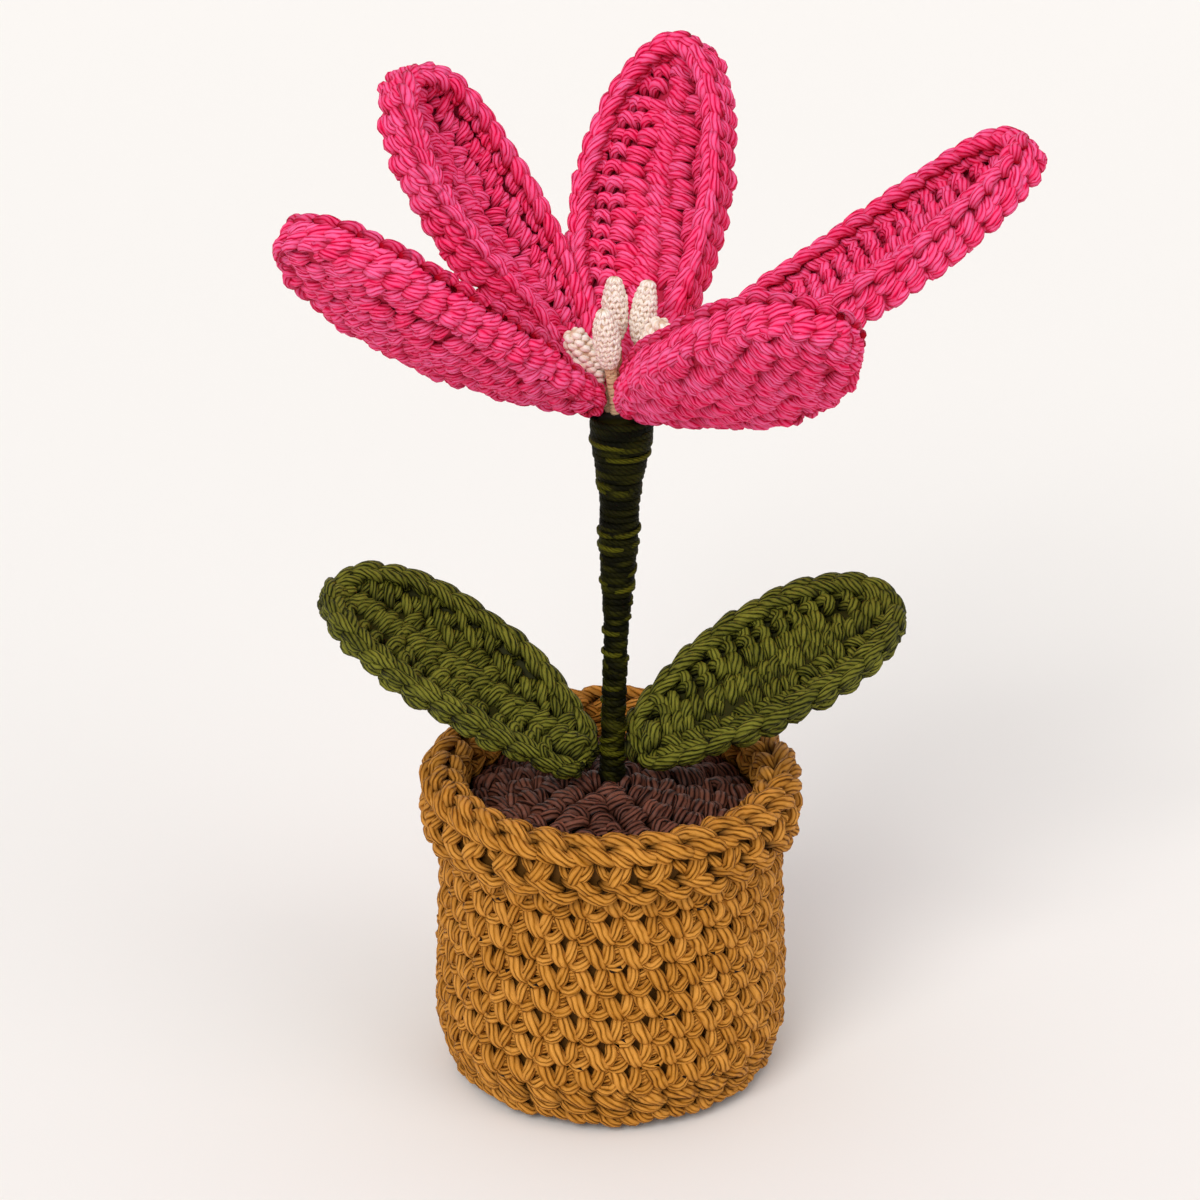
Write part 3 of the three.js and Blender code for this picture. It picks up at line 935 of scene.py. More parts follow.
    def build_rim(self) -> Skein:
        """Lays the rim: a braid on the top edge, hanging posts and a braid below them.

        Returns:
            The rim's strands.
        """
        skein = Skein("pot_rim", 12)
        at = self.places(np.zeros(1), shift=0.2)
        at = at + skein.random.normal(0.0, 0.14, at.shape) * np.array([1.0, 1.0, 0.5])
        links = (
            (Yarn(1.4, 1.2, 8, 0.4), RIM_TOP_LINK),
            (Yarn(1.35, 1.15, 8, 0.4), RIM_SECOND_LINK),
            (Yarn(1.2, 1.1, 8, 0.4), RIM_COLLAR),
            (Yarn(1.25, 1.15, 8, 0.3), RIM_POST),
            (Yarn(1.0, 1.0, 7, 0.3), RIM_SIDE_POST),
            (Yarn(1.0, 0.95, 7, 0.35), RIM_SLANT),
            (Yarn(1.3, 1.15, 8, 0.35), RIM_GARLAND),
            (Yarn(1.2, 1.05, 8, 0.35), RIM_HEM),
        )
        for yarn, link in links:
            lay_on(skein, self.rim, copies(link, at), yarn, 11, 0.13)
        inside = strand(
            (-3.2, 13.2, -1.9),
            (-2.2, 13.9, -0.9),
            (-0.6, 14.9, -0.7),
            (1.0, 15.9, -0.9),
            (2.2, 16.8, -1.9),
        )
        lay_on(skein, self.rim, copies(inside, at), Yarn(1.3, 1.0, 7, 0.5), 9, 0.14)
        side = inside * np.array([-1.0, 1.0, 1.0])
        for down in (3.1, 6.4):
            step = np.array([0.3 * down, down, 0.0])
            lay_on(skein, self.rim, copies(inside, at + step), Yarn(1.15, 0.95, 7, 0.5), 8, 0.14)
            lay_on(skein, self.rim, copies(side, at + step), Yarn(1.15, 0.95, 7, 0.5), 8, 0.14)
        skein.sheet(self._rim_lining(), around=True, along=True)
        return skein

    def _rim_lining(self) -> Array:
        """The closed ring of fabric behind the rim's stitches.

        Returns:
            Array (rows, columns, 3) in mm.
        """
        reach = 2.0 * self.rim_depth + self.rim_outer - self.rim_inner - 3.0
        s = np.linspace(0.8, reach, 22)
        u = np.linspace(0.0, self.stitches * self.pitch, 60, endpoint=False)
        p = np.stack(np.broadcast_arrays(u[None, :], s[:, None], np.array(-1.5)), axis=-1)
        return self.rim(p)[:, ::-1]

    def build_base(self) -> Skein:
        """Lays the turned bottom edge and the flat rounds under the pot.

        Returns:
            The base's strands.
        """
        skein = Skein("pot_base", 13)
        at = self.places(np.zeros(1))
        at = at + skein.random.normal(0.0, 0.15, at.shape) * np.array([1.0, 1.0, 0.5])
        cord = strand(
            (-3.6, 8.4, -2.0),
            (-2.2, 8.2, -0.9),
            (-0.3, 7.6, -0.45),
            (1.6, 6.8, -0.6),
            (3.0, 6.1, -1.2),
            (4.2, 5.8, -2.0),
        )
        arc_strand = strand(
            (-3.4, 6.2, -2.0),
            (-2.0, 5.4, -1.0),
            (0.0, 4.7, -0.75),
            (2.2, 4.8, -0.9),
            (3.8, 5.5, -2.0),
        )
        knot = strand(
            (-2.2, 3.9, -2.0),
            (-1.5, 3.1, -1.0),
            (-0.2, 2.5, -0.7),
            (1.1, 2.1, -1.0),
            (2.0, 1.9, -2.0),
        )
        thin = strand((-0.9, 9.5, -1.9), (0.3, 9.2, -0.95), (1.8, 8.5, -0.85), (3.0, 7.8, -1.9))
        lay_on(skein, self.wall, copies(cord, at), Yarn(1.35, 1.05, 8, 0.5), 12, 0.12)
        lay_on(skein, self.wall, copies(thin, at), Yarn(0.8, 0.75, 6, 0.6), 7, 0.14)
        lay_on(skein, self.wall, copies(arc_strand, at), Yarn(0.9, 0.85, 7, 0.6), 9, 0.12)
        lay_on(skein, self.wall, copies(knot, at), Yarn(1.2, 1.0, 8, 0.5), 8, 0.16)
        lay_on(
            skein, self.wall, copies(knot, at + np.array([3.1, 0.2, 0.0])), Yarn(1.1, 1.0, 7, 0.5), 8, 0.16
        )
        self._lay_rounds(skein)
        z = np.array([0.25, 0.25, 0.25, 1.9, 1.9, 1.9])
        radius = np.array([0.3, 14.0, 25.0, 25.6, 14.0, 0.3])
        u = np.linspace(0.0, self.stitches * self.pitch, 60, endpoint=False)
        ring = self.revolve(*np.broadcast_arrays(u[None, :], radius[:, None], z[:, None] + 1.0))
        skein.sheet(ring[:, ::-1], around=True, along=True)
        return skein

    def _lay_rounds(self, skein: Skein) -> None:
        """Lays five rounds of stitches under the pot, each with six more than the last.

        Args:
            skein: The base's strands.
        """
        width = self.foot_radius / 5.2
        leg = strand(
            (-0.5, -3.0, -1.9), (-0.42, -1.6, -1.0), (-0.2, 0.0, -0.85), (0.0, 1.5, -1.0), (0.1, 2.6, -1.9)
        )
        for number in range(1, 6):
            count = 6 * number
            radius = width * (number - 0.45)
            turn = (np.arange(count) + 0.3 * number) * TURN * self.bulge_radius / count
            at = np.stack([turn, np.full(count, radius), np.zeros(count)], axis=-1)
            spread = 2.6 * self.bulge_radius / radius
            size = np.broadcast_to(np.array([spread, 1.0, 1.0]), (count, 3))
            mirror = size * np.array([-1.0, 1.0, 1.0])
            shift = np.array([0.9 * self.bulge_radius / radius, 0.0, 0.0])
            for shape, place in ((size, at), (mirror, at + shift)):
                lay_on(skein, self.underside, copies(leg, place, shape), Yarn(1.1, 0.9, 6, 0.5), 7, 0.05)


@dataclass
class Soil:
    """The crocheted soil: rounds of plump knots on a low dome round the stem."""

    radius: float = 25.1
    crown: float = 54.6
    edge: float = 50.0
    hole: float = 2.2
    round_width: float = 4.7

    def dome(self, p: Array) -> Array:
        """Bends fabric coordinates over the dome, whose height falls with the radius squared.

        Args:
            p: Array (..., 3): angle in radians, distance from the axis, distance up.

        Returns:
            Points in mm.
        """
        t = p[..., 1] / self.radius
        z = self.crown - (self.crown - self.edge) * t**2 + p[..., 2]
        return np.stack([p[..., 1] * np.sin(p[..., 0]), -p[..., 1] * np.cos(p[..., 0]), z], axis=-1)

    def build(self) -> Skein:
        """Lays the spiral of knots: each is three bundles, side by side and slanting.

        Returns:
            The soil's strands.
        """
        skein = Skein("soil_stitches", 21)
        bundles = (
            strand(
                (-2.3, 0.9, -2.0), (-1.5, 1.4, -0.1), (-0.3, 1.2, 0.8), (0.9, 0.3, 0.4), (1.5, -0.8, -1.8)
            ),
            strand((-1.3, 2.4, -2.0), (-0.2, 2.1, -0.3), (0.9, 1.5, 0.5), (1.8, 0.4, 0.0), (2.1, -0.6, -1.9)),
            strand(
                (-2.3, -0.4, -2.0), (-1.7, -1.0, -0.2), (-0.5, -1.4, 0.5), (0.9, -1.6, 0.1), (1.9, -1.5, -1.9)
            ),
        )
        for number in range(5):
            middle = self.hole + self.round_width * (number + 0.48)
            count = int(round(TURN * middle / 5.1))
            angle = (np.arange(count) + 0.37 * number) * TURN / count
            radius = middle + self.round_width * 0.35 * (angle / TURN % 1.0 - 0.5)
            at = np.stack([angle, radius, np.zeros(count)], axis=-1)
            at = at + skein.random.normal(0.0, 1.0, at.shape) * np.array([0.22 / middle, 0.22, 0.2])
            size = np.broadcast_to(np.array([1.0 / middle, 1.0, 1.0]), (count, 3))
            for bundle in bundles:
                wobble = skein.random.normal(0.0, 0.18, (count, len(bundle), 3))
                knots = copies(bundle, at, size) + wobble * np.array([1.0 / middle, 1.0, 1.0])
                knots[..., 1] = np.clip(knots[..., 1], self.hole, self.radius - 0.9)
                girth = skein.random.uniform(0.9, 1.12, count)
                lay_on(skein, self.dome, knots, Yarn(1.3, 1.05, 8, 0.55), 10, 0.0, girth)
        radius = np.array([0.3, 6.0, 12.0, 18.0, 24.0, 24.3, 24.0, 12.0, 0.3])
        drop = np.array([-1.7, -1.7, -1.7, -1.7, -1.7, -2.4, -3.4, -7.0, -8.0])
        angle = np.linspace(0.0, TURN, 48, endpoint=False)
        grid = np.stack(np.broadcast_arrays(angle[None, :], radius[:, None], drop[:, None]), axis=-1)
        skein.sheet(self.dome(grid), around=True, along=True)
        return skein


# --------------------------------------------------------------------------------------
# Petals and leaves
# --------------------------------------------------------------------------------------


@dataclass(frozen=True)
class BladeForm:
    """The section that all petals, or both leaves, share.

    Attributes:
        width: Full width in mm.
        floor: Thickness of the middle panel.
        wall: Width of the raised border.
        wall_height: Height of the border over the blade's edge.
        cup: How far the edges stand over the midline.
        root_share: Share of the width left at the root.
        link: Length of one link of the border's braid.
        row: Distance between rows of the middle panel.
    """

    width: float
    floor: float
    wall: float
    wall_height: float
    cup: float
    root_share: float
    link: float
    row: float


PETAL = BladeForm(28.5, 2.6, 3.0, 6.6, 2.5, 0.22, 4.0, 3.1)
LEAF = BladeForm(25.0, 2.4, 2.8, 4.4, 2.5, 0.4, 5.0, 3.2)


# The panel's four kinds of stitch from the +Y border to the other: arches, a fat pair,
# long level strands and a slanting stitch. Each strand is given with its girth.
PANEL_STITCHES = (
    (
        (
            strand((-1.4, 2.5, -0.9), (0.2, 2.3, 0.4), (1.0, 1.4, 0.7), (0.5, 0.4, 0.5), (-0.9, 0.1, -0.9)),
            1.08,
        ),
        (
            strand(
                (-1.5, 0.4, -0.9), (0.1, 0.1, 0.4), (0.9, -0.8, 0.7), (0.4, -1.9, 0.5), (-0.9, -2.3, -0.9)
            ),
            1.08,
        ),
    ),
    (
        (
            strand((0.1, 2.9, -0.9), (0.55, 1.5, 0.6), (0.5, 0.0, 0.9), (0.1, -1.5, 0.6), (-0.6, -2.7, -0.9)),
            1.12,
        ),
        (strand((-1.2, 2.5, -0.9), (-0.9, 1.2, 0.3), (-0.9, -0.3, 0.5), (-1.2, -1.8, -0.9)), 0.9),
    ),
    (
        (strand((0.9, 2.9, -0.9), (0.85, 1.2, 0.4), (0.4, -0.7, 0.6), (-0.2, -2.7, -0.9)), 0.95),
        (strand((-0.4, 3.0, -0.9), (-0.75, 1.3, 0.3), (-0.8, -0.4, 0.4), (-1.0, -2.1, -0.9)), 0.85),
    ),
    (
        (strand((-1.7, 2.0, -0.9), (-0.5, 1.2, 0.4), (0.7, -0.1, 0.7), (1.6, -1.9, -0.9)), 0.95),
        (strand((1.0, 2.6, -0.9), (1.2, 1.3, 0.1), (1.3, 0.2, -0.9)), 0.8),
        (strand((-1.2, 0.2, -0.9), (-0.8, -0.9, 0.3), (-0.1, -2.2, -0.9)), 0.85),
    ),
)


@dataclass
class Blade:
    """A petal or leaf: a crocheted panel in a raised, braided border.

    The midline starts at the root and lifts steadily, turning a little sideways and about
    itself. Plan coordinates are the distance along it, the distance across and the height.

    Attributes:
        name: Node name.
        form: The shared section.
        azimuth: Heading in degrees from +X.
        rise: Slope at the root in degrees.
        lift: Slope at the tip in degrees.
        length: Length in mm.
        roll: Turn about the midline at the root, in degrees.
        twist: Further turn reached at the tip.
        bend: Further heading reached at the tip.
        root: Where the midline starts, in mm.
        seed: Seed of the piece's irregularities.
        sides: Upright planes that the blade is pressed against, as (azimuth, sign).
    """

    name: str
    form: BladeForm
    azimuth: float
    rise: float
    lift: float
    length: float
    roll: float
    twist: float
    bend: float
    root: tuple[float, float, float]
    seed: int
    sides: tuple[tuple[float, float], ...] = ()

    def __post_init__(self) -> None:
        """Works out the midline's frames and the outline.

        The heading, slope and roll change evenly from root to tip, and the midline is the
        running trapezoid sum of its direction.
        """
        s = np.linspace(0.0, 1.0, 201)
        heading = np.radians(self.azimuth + self.bend * s)
        slope = np.radians(self.rise + (self.lift - self.rise) * s)
        roll = np.radians(self.roll + self.twist * s)[:, None]
        along = np.stack(
            [np.cos(slope) * np.cos(heading), np.cos(slope) * np.sin(heading), np.sin(slope)], axis=-1
        )
        steps = 0.5 * (along[1:] + along[:-1]) * self.length / 200.0
        level = np.stack([-np.sin(heading), np.cos(heading), np.zeros_like(heading)], axis=-1)
        up = np.cross(along, level)
        self.stations = s * self.length
        self.points = np.array(self.root) + np.concatenate([np.zeros((1, 3)), np.cumsum(steps, axis=0)])
        self.along = along
        self.across = level * np.cos(roll) + up * np.sin(roll)
        self.normal = up * np.cos(roll) - level * np.sin(roll)
        self._outline()

    def half(self, x: Array) -> Array:
        """Half the width: a sine power up to the widest place, then a rounded tip.

        Args:
            x: Distance along the midline.

        Returns:
            Half the width in mm.
        """
        s = np.clip(x / self.length, 0.0, 1.0)
        opening = np.sin(0.5 * np.pi * np.clip(s / WIDEST_AT, 0.0, 1.0)) ** 0.8
        first = self.form.root_share + (1.0 - self.form.root_share) * opening
        t = np.clip((s - WIDEST_AT) / (1.0 - WIDEST_AT), 0.0, 1.0)
        return 0.5 * self.form.width * np.where(s < WIDEST_AT, first, np.sqrt(1.0 - t**2.4))

    def _outline(self) -> None:
        """Samples the outline evenly, rounds its corners and finds its inward direction."""
        s = 0.5 - 0.5 * np.cos(np.linspace(0.0, np.pi, 161))
        x = np.concatenate([s, s[::-1]]) * self.length
        y = self.half(x) * np.repeat([1.0, -1.0], 161)
        plan = np.stack([np.concatenate([[0.0], x, [0.0]]), np.concatenate([[0.0], y, [0.0]])], axis=-1)
        length = np.concatenate([[0.0], np.cumsum(np.linalg.norm(np.diff(plan, axis=0), axis=-1))])
        even = np.linspace(0.0, length[-1], OUTLINE_STEPS + 1)[:-1]
        ring = np.stack([np.interp(even, length, plan[:, k]) for k in range(2)], axis=-1)
        span = max(int(3.0 / (length[-1] / OUTLINE_STEPS)), 1)
        shifts = np.arange(-span, span + 1)
        ring = np.mean([np.roll(ring, k, axis=0) for k in shifts], axis=0)
        tangent = np.roll(ring, -1, axis=0) - np.roll(ring, 1, axis=0)
        tangent = tangent / np.linalg.norm(tangent, axis=-1, keepdims=True)
        self.perimeter = length[-1]
        self.ring = np.concatenate([ring, ring[:1]])
        inward = np.stack([tangent[:, 1], -tangent[:, 0]], axis=-1)
        self.inward = np.concatenate([inward, inward[:1]])

    def place(self, x: Array, y: Array, z: Array) -> Array:
        """Turns plan coordinates into points, extending the midline straight at its ends.

        Args:
            x: Distance along the midline.
            y: Distance across.
            z: Height over the underside's middle.

        Returns:
            Points in mm.
        """

        def at(values: Array) -> Array:
            """Reads values given along the midline at the wanted distances."""
            return np.stack([np.interp(x, self.stations, values[:, k]) for k in range(3)], axis=-1)

        beyond = x - np.clip(x, 0.0, self.length)
        points = at(self.points) + at(self.along) * beyond[..., None]
        points = points + at(self.across) * y[..., None] + at(self.normal) * z[..., None]
        return self._press(points)

    def _press(self, points: Array) -> Array:
        """Eases points back from the planes halfway to the neighbours by a softplus curve.

        Args:
            points: Array (..., 3) in mm.

        Returns:
            The eased points.
        """
        gap, softness = 0.25, 0.9
        for azimuth, sign in self.sides:
            turn = np.radians(azimuth)
            away = sign * np.array([-np.sin(turn), np.cos(turn), 0.0])
            distance = (points - np.array([FLOWER_AXIS, 0.0, 0.0])) @ away
            eased = gap + softness * np.logaddexp(0.0, (distance - gap) / softness)
            points = points + (eased - distance)[..., None] * away
        return points

    def floor_height(self, x: Array, y: Array) -> Array:
        """Height of the underside: a parabola across.

        Args:
            x: Distance along the midline.
            y: Distance across.

        Returns:
            Height in mm.
        """
        half = np.maximum(self.half(x), 1.2)
        return self.form.cup * half / (0.5 * self.form.width) * np.clip(y / half, -1.05, 1.05) ** 2

    def wall_share(self, x: Array) -> Array:
        """Share of the full border height, which grows from the root."""
        return 0.4 + 0.6 * ease(x / self.length / 0.35)

    def panel(self, p: Array) -> Array:
        """Bends fabric coordinates over the middle panel, which rises to the border at the ends.

        The distance across is held to the panel and a little way under the border.

        Args:
            p: Array (..., 3): along, across, out of the panel.

        Returns:
            Points in mm.
        """
        half = np.maximum(self.half(p[..., 0]), 1.2)
        open_share = ease((half - self.form.wall) / 3.0)
        cup = self.form.cup * half / (0.5 * self.form.width)
        top = cup + self.form.wall_height * self.wall_share(p[..., 0]) - 0.2
        inside = np.maximum(half - self.form.wall + PANEL_TUCK, 0.3)
        y = np.clip(p[..., 1], -inside, inside)
        low = self.floor_height(p[..., 0], y) + self.form.floor + WIRE_COVER
        return self.place(p[..., 0], y, top + (low - top) * open_share + p[..., 2])

    def under(self, p: Array) -> Array:
        """Bends fabric coordinates over the underside, a little inside the outline.

        Args:
            p: Array (..., 3): along, across, out of the underside.

        Returns:
            Points in mm.
        """
        inside = np.maximum(self.half(p[..., 0]) - UNDER_INSET, 0.2)
        x = np.minimum(p[..., 0], self.length - TIP_INSET)
        y = np.clip(p[..., 1], -inside, inside)
        return self.place(x, y, self.floor_height(x, y) - p[..., 2])

    def border(self, t: Array, height: Array, inset: Array) -> Array:
        """Finds points on the border.

        Args:
            t: Distance along the outline.
            height: Height over the blade's edge, for a full-height border.
            inset: Distance inwards from the outline.

        Returns:
            Points in mm.
        """
        turn = (t / self.perimeter % 1.0) * OUTLINE_STEPS
        index = np.arange(OUTLINE_STEPS + 1)
        centre = [np.interp(turn, index, self.ring[:, k]) for k in range(2)]
        inward = [np.interp(turn, index, self.inward[:, k]) for k in range(2)]
        x = centre[0] + inward[0] * inset
        y = centre[1] + inward[1] * inset
        full = self.form.wall_height
        scaled = np.minimum(height, full) * self.wall_share(centre[0]) + np.maximum(height - full, 0.0)
        return self.place(x, y, self.floor_height(centre[0], centre[1]) + scaled)

    def outer_side(self, p: Array) -> Array:
        """The border's outside: along, up, out."""
        return self.border(p[..., 0], p[..., 1], -p[..., 2])

    def inner_side(self, p: Array) -> Array:
        """The border's inside: along, up, out into the hollow."""
        return self.border(p[..., 0], p[..., 1], self.form.wall + p[..., 2])

    def edge_top(self, p: Array) -> Array:
        """The border's top: along, inwards, up."""
        return self.border(p[..., 0], self.form.wall_height + p[..., 2], p[..., 1])

    def build(self) -> Skein:
        """Lays the blade's border, panel and underside over a lining.

        Returns:
            The blade's strands.
        """
        skein = Skein(f"{self.name}_stitches", self.seed)
        self._lay_braid(skein)
        self._lay_shells(skein)
        self._lay_panel(skein)
        self._lay_midline(skein)
        self._lay_underside(skein)
        self._lay_lining(skein)
        return skein

    def _links(self, shift: float = 0.0) -> Array:
        """Starts of the braid's links, evenly round the outline."""
        count = int(round(self.perimeter / self.form.link))
        t = (np.arange(count) + shift) * self.perimeter / count
        return np.stack([t, np.zeros(count), np.zeros(count)], axis=-1)

    def _lay_braid(self, skein: Skein) -> None:
        """Lays two ranks of links that meet in nested points along the border's top.

        Args:
            skein: The blade's strands.
        """
        at = self._links()
        at = at + skein.random.normal(0.0, 0.14, at.shape)
        stretch = self.form.link / 4.0
        size = np.array([stretch, 1.0, 1.0])
        outer = strand(
            (-2.6, 1.75, -1.9),
            (-1.5, 1.35, -0.85),
            (0.2, 0.85, -0.55),
            (1.8, 0.45, -0.8),
            (3.0, 0.1, -1.7),
        )
        inner = strand(
            (-2.6, 1.25, -1.9),
            (-1.5, 1.75, -0.85),
            (0.2, 2.3, -0.55),
            (1.8, 2.75, -0.8),
            (3.0, 3.1, -1.7),
        )
        yarn = Yarn(1.12, 1.0, 8, 0.55)
        for leg in (outer, inner):
            shape = leg * size * np.array([1.0, self.form.wall / 3.0, 1.0])
            girth = skein.random.uniform(0.92, 1.1, len(at))
            lay_on(skein, self.edge_top, copies(shape, at), yarn, 10, 0.1, girth)

    def _lay_shells(self, skein: Skein) -> None:
        """Lays the shell-like bundles outside the border and the small knots inside it.

        Args:
            skein: The blade's strands.
        """
        at = self._links(0.35)
        at = at + skein.random.normal(0.0, 0.18, at.shape) * np.array([1.0, 1.0, 0.4])
        full = self.form.wall_height / 6.6
        size = np.array([self.form.link / 4.0, full, 1.0])
        shells = (
            strand(
                (-1.9, 5.2, -1.8), (-1.5, 4.3, -0.9), (-0.6, 3.4, -0.6), (0.4, 2.6, -0.75), (1.3, 2.1, -1.8)
            ),
            strand(
                (-0.6, 5.4, -1.8), (0.0, 4.6, -0.85), (0.8, 3.8, -0.55), (1.7, 3.2, -0.8), (2.4, 2.9, -1.8)
            ),
            strand(
                (-2.3, 3.4, -1.8), (-1.7, 2.4, -0.9), (-0.7, 1.6, -0.7), (0.6, 1.0, -0.8), (1.8, 0.8, -1.8)
            ),
            strand((-2.0, 1.5, -1.8), (-0.9, 0.8, -0.95), (0.5, 0.25, -0.9), (1.9, 0.4, -1.8)),
        )
        for shell in shells:
            girth = skein.random.uniform(0.9, 1.12, len(at))
            lay_on(skein, self.outer_side, copies(shell * size, at), Yarn(1.08, 1.0, 7, 0.5), 8, 0.14, girth)
        inside = (
            strand((-1.6, 5.0, -1.6), (-0.9, 4.2, -0.6), (0.2, 3.5, -0.5), (1.4, 3.2, -1.5)),
            strand((0.2, 5.0, -1.6), (1.0, 4.4, -0.6), (1.7, 3.4, -0.6), (1.6, 2.4, -1.5)),
        )
        for knot in inside:
            lay_on(skein, self.inner_side, copies(knot * size, at), Yarn(0.95, 0.9, 6, 0.55), 7, 0.16)

    def _lay_panel(self, skein: Skein) -> None:
        """Lays the panel's rows: fat paired bundles, with slanting strands between them.

        Args:
            skein: The blade's strands.
        """
        rows = np.arange(self.form.row, self.length - self.form.wall, self.form.row)
        at = np.concatenate(
            [
                self._cells(x, self.half(x) - self.form.wall + 0.5, 4.7) + [0.0, sway, 0.0]
                for x, sway in zip(rows, skein.random.uniform(-1.3, 1.3, len(rows)))
            ]
        )
        reach = np.maximum(self.half(at[:, 0]) - self.form.wall + 0.5, 1.2)
        kind = np.clip((4.0 * (0.5 - 0.5 * at[:, 1] / reach)).astype(int), 0, 3)
        at = at + skein.random.normal(0.0, 0.2, at.shape) * np.array([1.0, 1.0, 0.5])
        size = np.array([self.form.row / 3.1, 1.0, 1.0])
        for number, bundles in enumerate(PANEL_STITCHES):
            here = at[kind == number]
            if not len(here):
                continue
            for bundle, width in bundles:
                girth = width * skein.random.uniform(0.92, 1.1, len(here))
                lay_on(
                    skein, self.panel, copies(bundle * size, here), Yarn(1.05, 1.05, 8, 0.35), 9, 0.12, girth
                )

    def _lay_midline(self, skein: Skein) -> None:
        """Lays the slanting strands that cover the wire along the midline.

        Args:
            skein: The blade's strands.
        """
        x = np.arange(2.6, self.length - self.form.wall, 0.66 * self.form.row)
        at = np.stack([x, np.zeros(len(x)), np.zeros(len(x))], axis=-1)
        at = at + skein.random.normal(0.0, 0.22, at.shape) * np.array([1.0, 1.6, 0.4])
        cover = strand(
            (-0.8, -2.3, -0.4), (-0.5, -1.2, 0.75), (0.0, 0.0, 1.1), (0.5, 1.2, 0.75), (0.4, 2.3, -0.4)
        )
        girth = skein.random.uniform(0.86, 1.12, len(at))
        lay_on(skein, self.panel, copies(cover, at), Yarn(1.15, 0.95, 8, 0.4), 9, 0.18, girth)

    def _cells(self, x: float, reach: float, width: float) -> Array:
        """Stitch places in one row across the blade.

        Args:
            x: The row's distance along the midline.
            reach: Distance from the midline to the row's end.
            width: Wanted distance between stitches.

        Returns:
            Array (stitches, 3).
        """
        reach = max(float(reach), 0.5 * width)
        count = 2 * int(round((2.0 * reach / width - 1.0) / 2.0)) + 1
        y = (np.arange(count) + 0.5) * 2.0 * reach / count - reach
        return np.stack([np.full(count, x), y, np.zeros(count)], axis=-1)

    def _lay_underside(self, skein: Skein) -> None:
        """Lays the underside's rows, which are flatter and less even.

        Args:
            skein: The blade's strands.
        """
        rows = np.arange(0.8, self.length - 1.2, self.form.row)
        bundles = (
            strand(
                (-0.9, -2.5, -1.8),
                (-0.6, -1.3, -0.8),
                (-0.5, 0.0, -0.5),
                (-0.6, 1.3, -0.8),
                (-0.8, 2.5, -1.8),
            ),
            strand(
                (0.7, -2.3, -1.8), (0.9, -1.0, -1.05), (0.9, 0.3, -0.95), (0.5, 1.4, -1.1), (-0.2, 2.4, -1.8)
            ),
        )
        at = np.concatenate([self._cells(x, self.half(x) - 0.5, 4.3) for x in rows])
        at = at + skein.random.normal(0.0, 0.45, at.shape) * np.array([1.0, 1.6, 0.45])
        for bundle in bundles:
            size = np.array([self.form.row / 3.1, 1.0, 1.0])
            girth = skein.random.uniform(0.88, 1.12, len(at))
            lay_on(skein, self.under, copies(bundle * size, at), Yarn(1.08, 0.95, 6, 0.5), 7, 0.16, girth)

    def _lay_lining(self, skein: Skein) -> None:
        """Lays the fabric behind the strands: the blade's section, drawn in by a strand.

        Args:
            skein: The blade's strands.
        """
        x = (1.4 + (self.length - 2.6) * np.sin(np.linspace(0.0, 0.5 * np.pi, 40)))[:, None]
        half = np.maximum(self.half(x) - 1.0, 0.6)
        inner = np.maximum(half - self.form.wall + 2.2, 0.3)
        cup = self.form.cup * half / (0.5 * self.form.width)
        top = cup + self.form.wall_height * self.wall_share(x) - 1.5
        open_share = ease((half - self.form.wall + 1.0) / 3.0)
        across = np.array([-1.0, -0.5, 0.0, 0.5, 1.0])
        under_y = half * across
        under_z = self.floor_height(x, under_y) + 1.1
        over_y = inner * across[::-1]
        over_low = self.floor_height(x, over_y) + self.form.floor - 0.5
        over_z = (top - 0.3) + (over_low - top + 0.3) * open_share
        ridge = np.where(across == 0.0, self.form.floor + 1.5, 1.3)
        over_z = np.maximum(over_z, self.floor_height(x, over_y) + ridge)
        rims = np.concatenate([half, inner], axis=1)
        y = np.concatenate([under_y, rims, over_y, -rims[:, ::-1]], axis=1)
        z = np.concatenate([under_z, top, top, over_z, top, top], axis=1)
        grid = self.place(np.broadcast_to(x, y.shape), y, z)
        skein.sheet(grid, around=True, caps=True)


class Petals:
    """The five petals, named clockwise seen from above."""

    ROOT_RADIUS = 4.2
    TABLE = (
        ("petal_1", 203.0, 15.0, 52.0, 67.0, 27.0, -5.0, 4.0, 123.7),
        ("petal_2", 148.0, 33.0, 68.0, 67.0, 11.0, -11.0, 2.0, 124.3),
        ("petal_3", 78.0, 34.0, 61.0, 68.5, -7.0, -16.0, -9.0, 124.4),
        ("petal_4", 2.0, 18.5, 45.5, 79.0, 0.0, 0.0, 9.0, 124.1),
        ("petal_5", 296.0, 12.0, 44.0, 66.0, -23.0, -6.0, 6.0, 123.7),
    )

    def build(self) -> list[Blade]:
        """Makes each petal with the planes halfway to its neighbours.

        Returns:
            The petals.
        """
        made = []
        headings = [row[1] for row in self.TABLE]
        for number, (name, azimuth, *shape, height) in enumerate(self.TABLE):
            turn = np.radians(azimuth)
            root = (FLOWER_AXIS + self.ROOT_RADIUS * np.cos(turn), self.ROOT_RADIUS * np.sin(turn), height)
            after = headings[(number + 1) % len(headings)]
            sides = tuple(
                (azimuth + 0.5 * ((other - azimuth + 540.0) % 360.0 - 180.0), sign)
                for other, sign in ((headings[number - 1], -1.0), (after, 1.0))
            )
            made.append(Blade(name, PETAL, azimuth, *shape, root, 31 + number, sides))
        return made


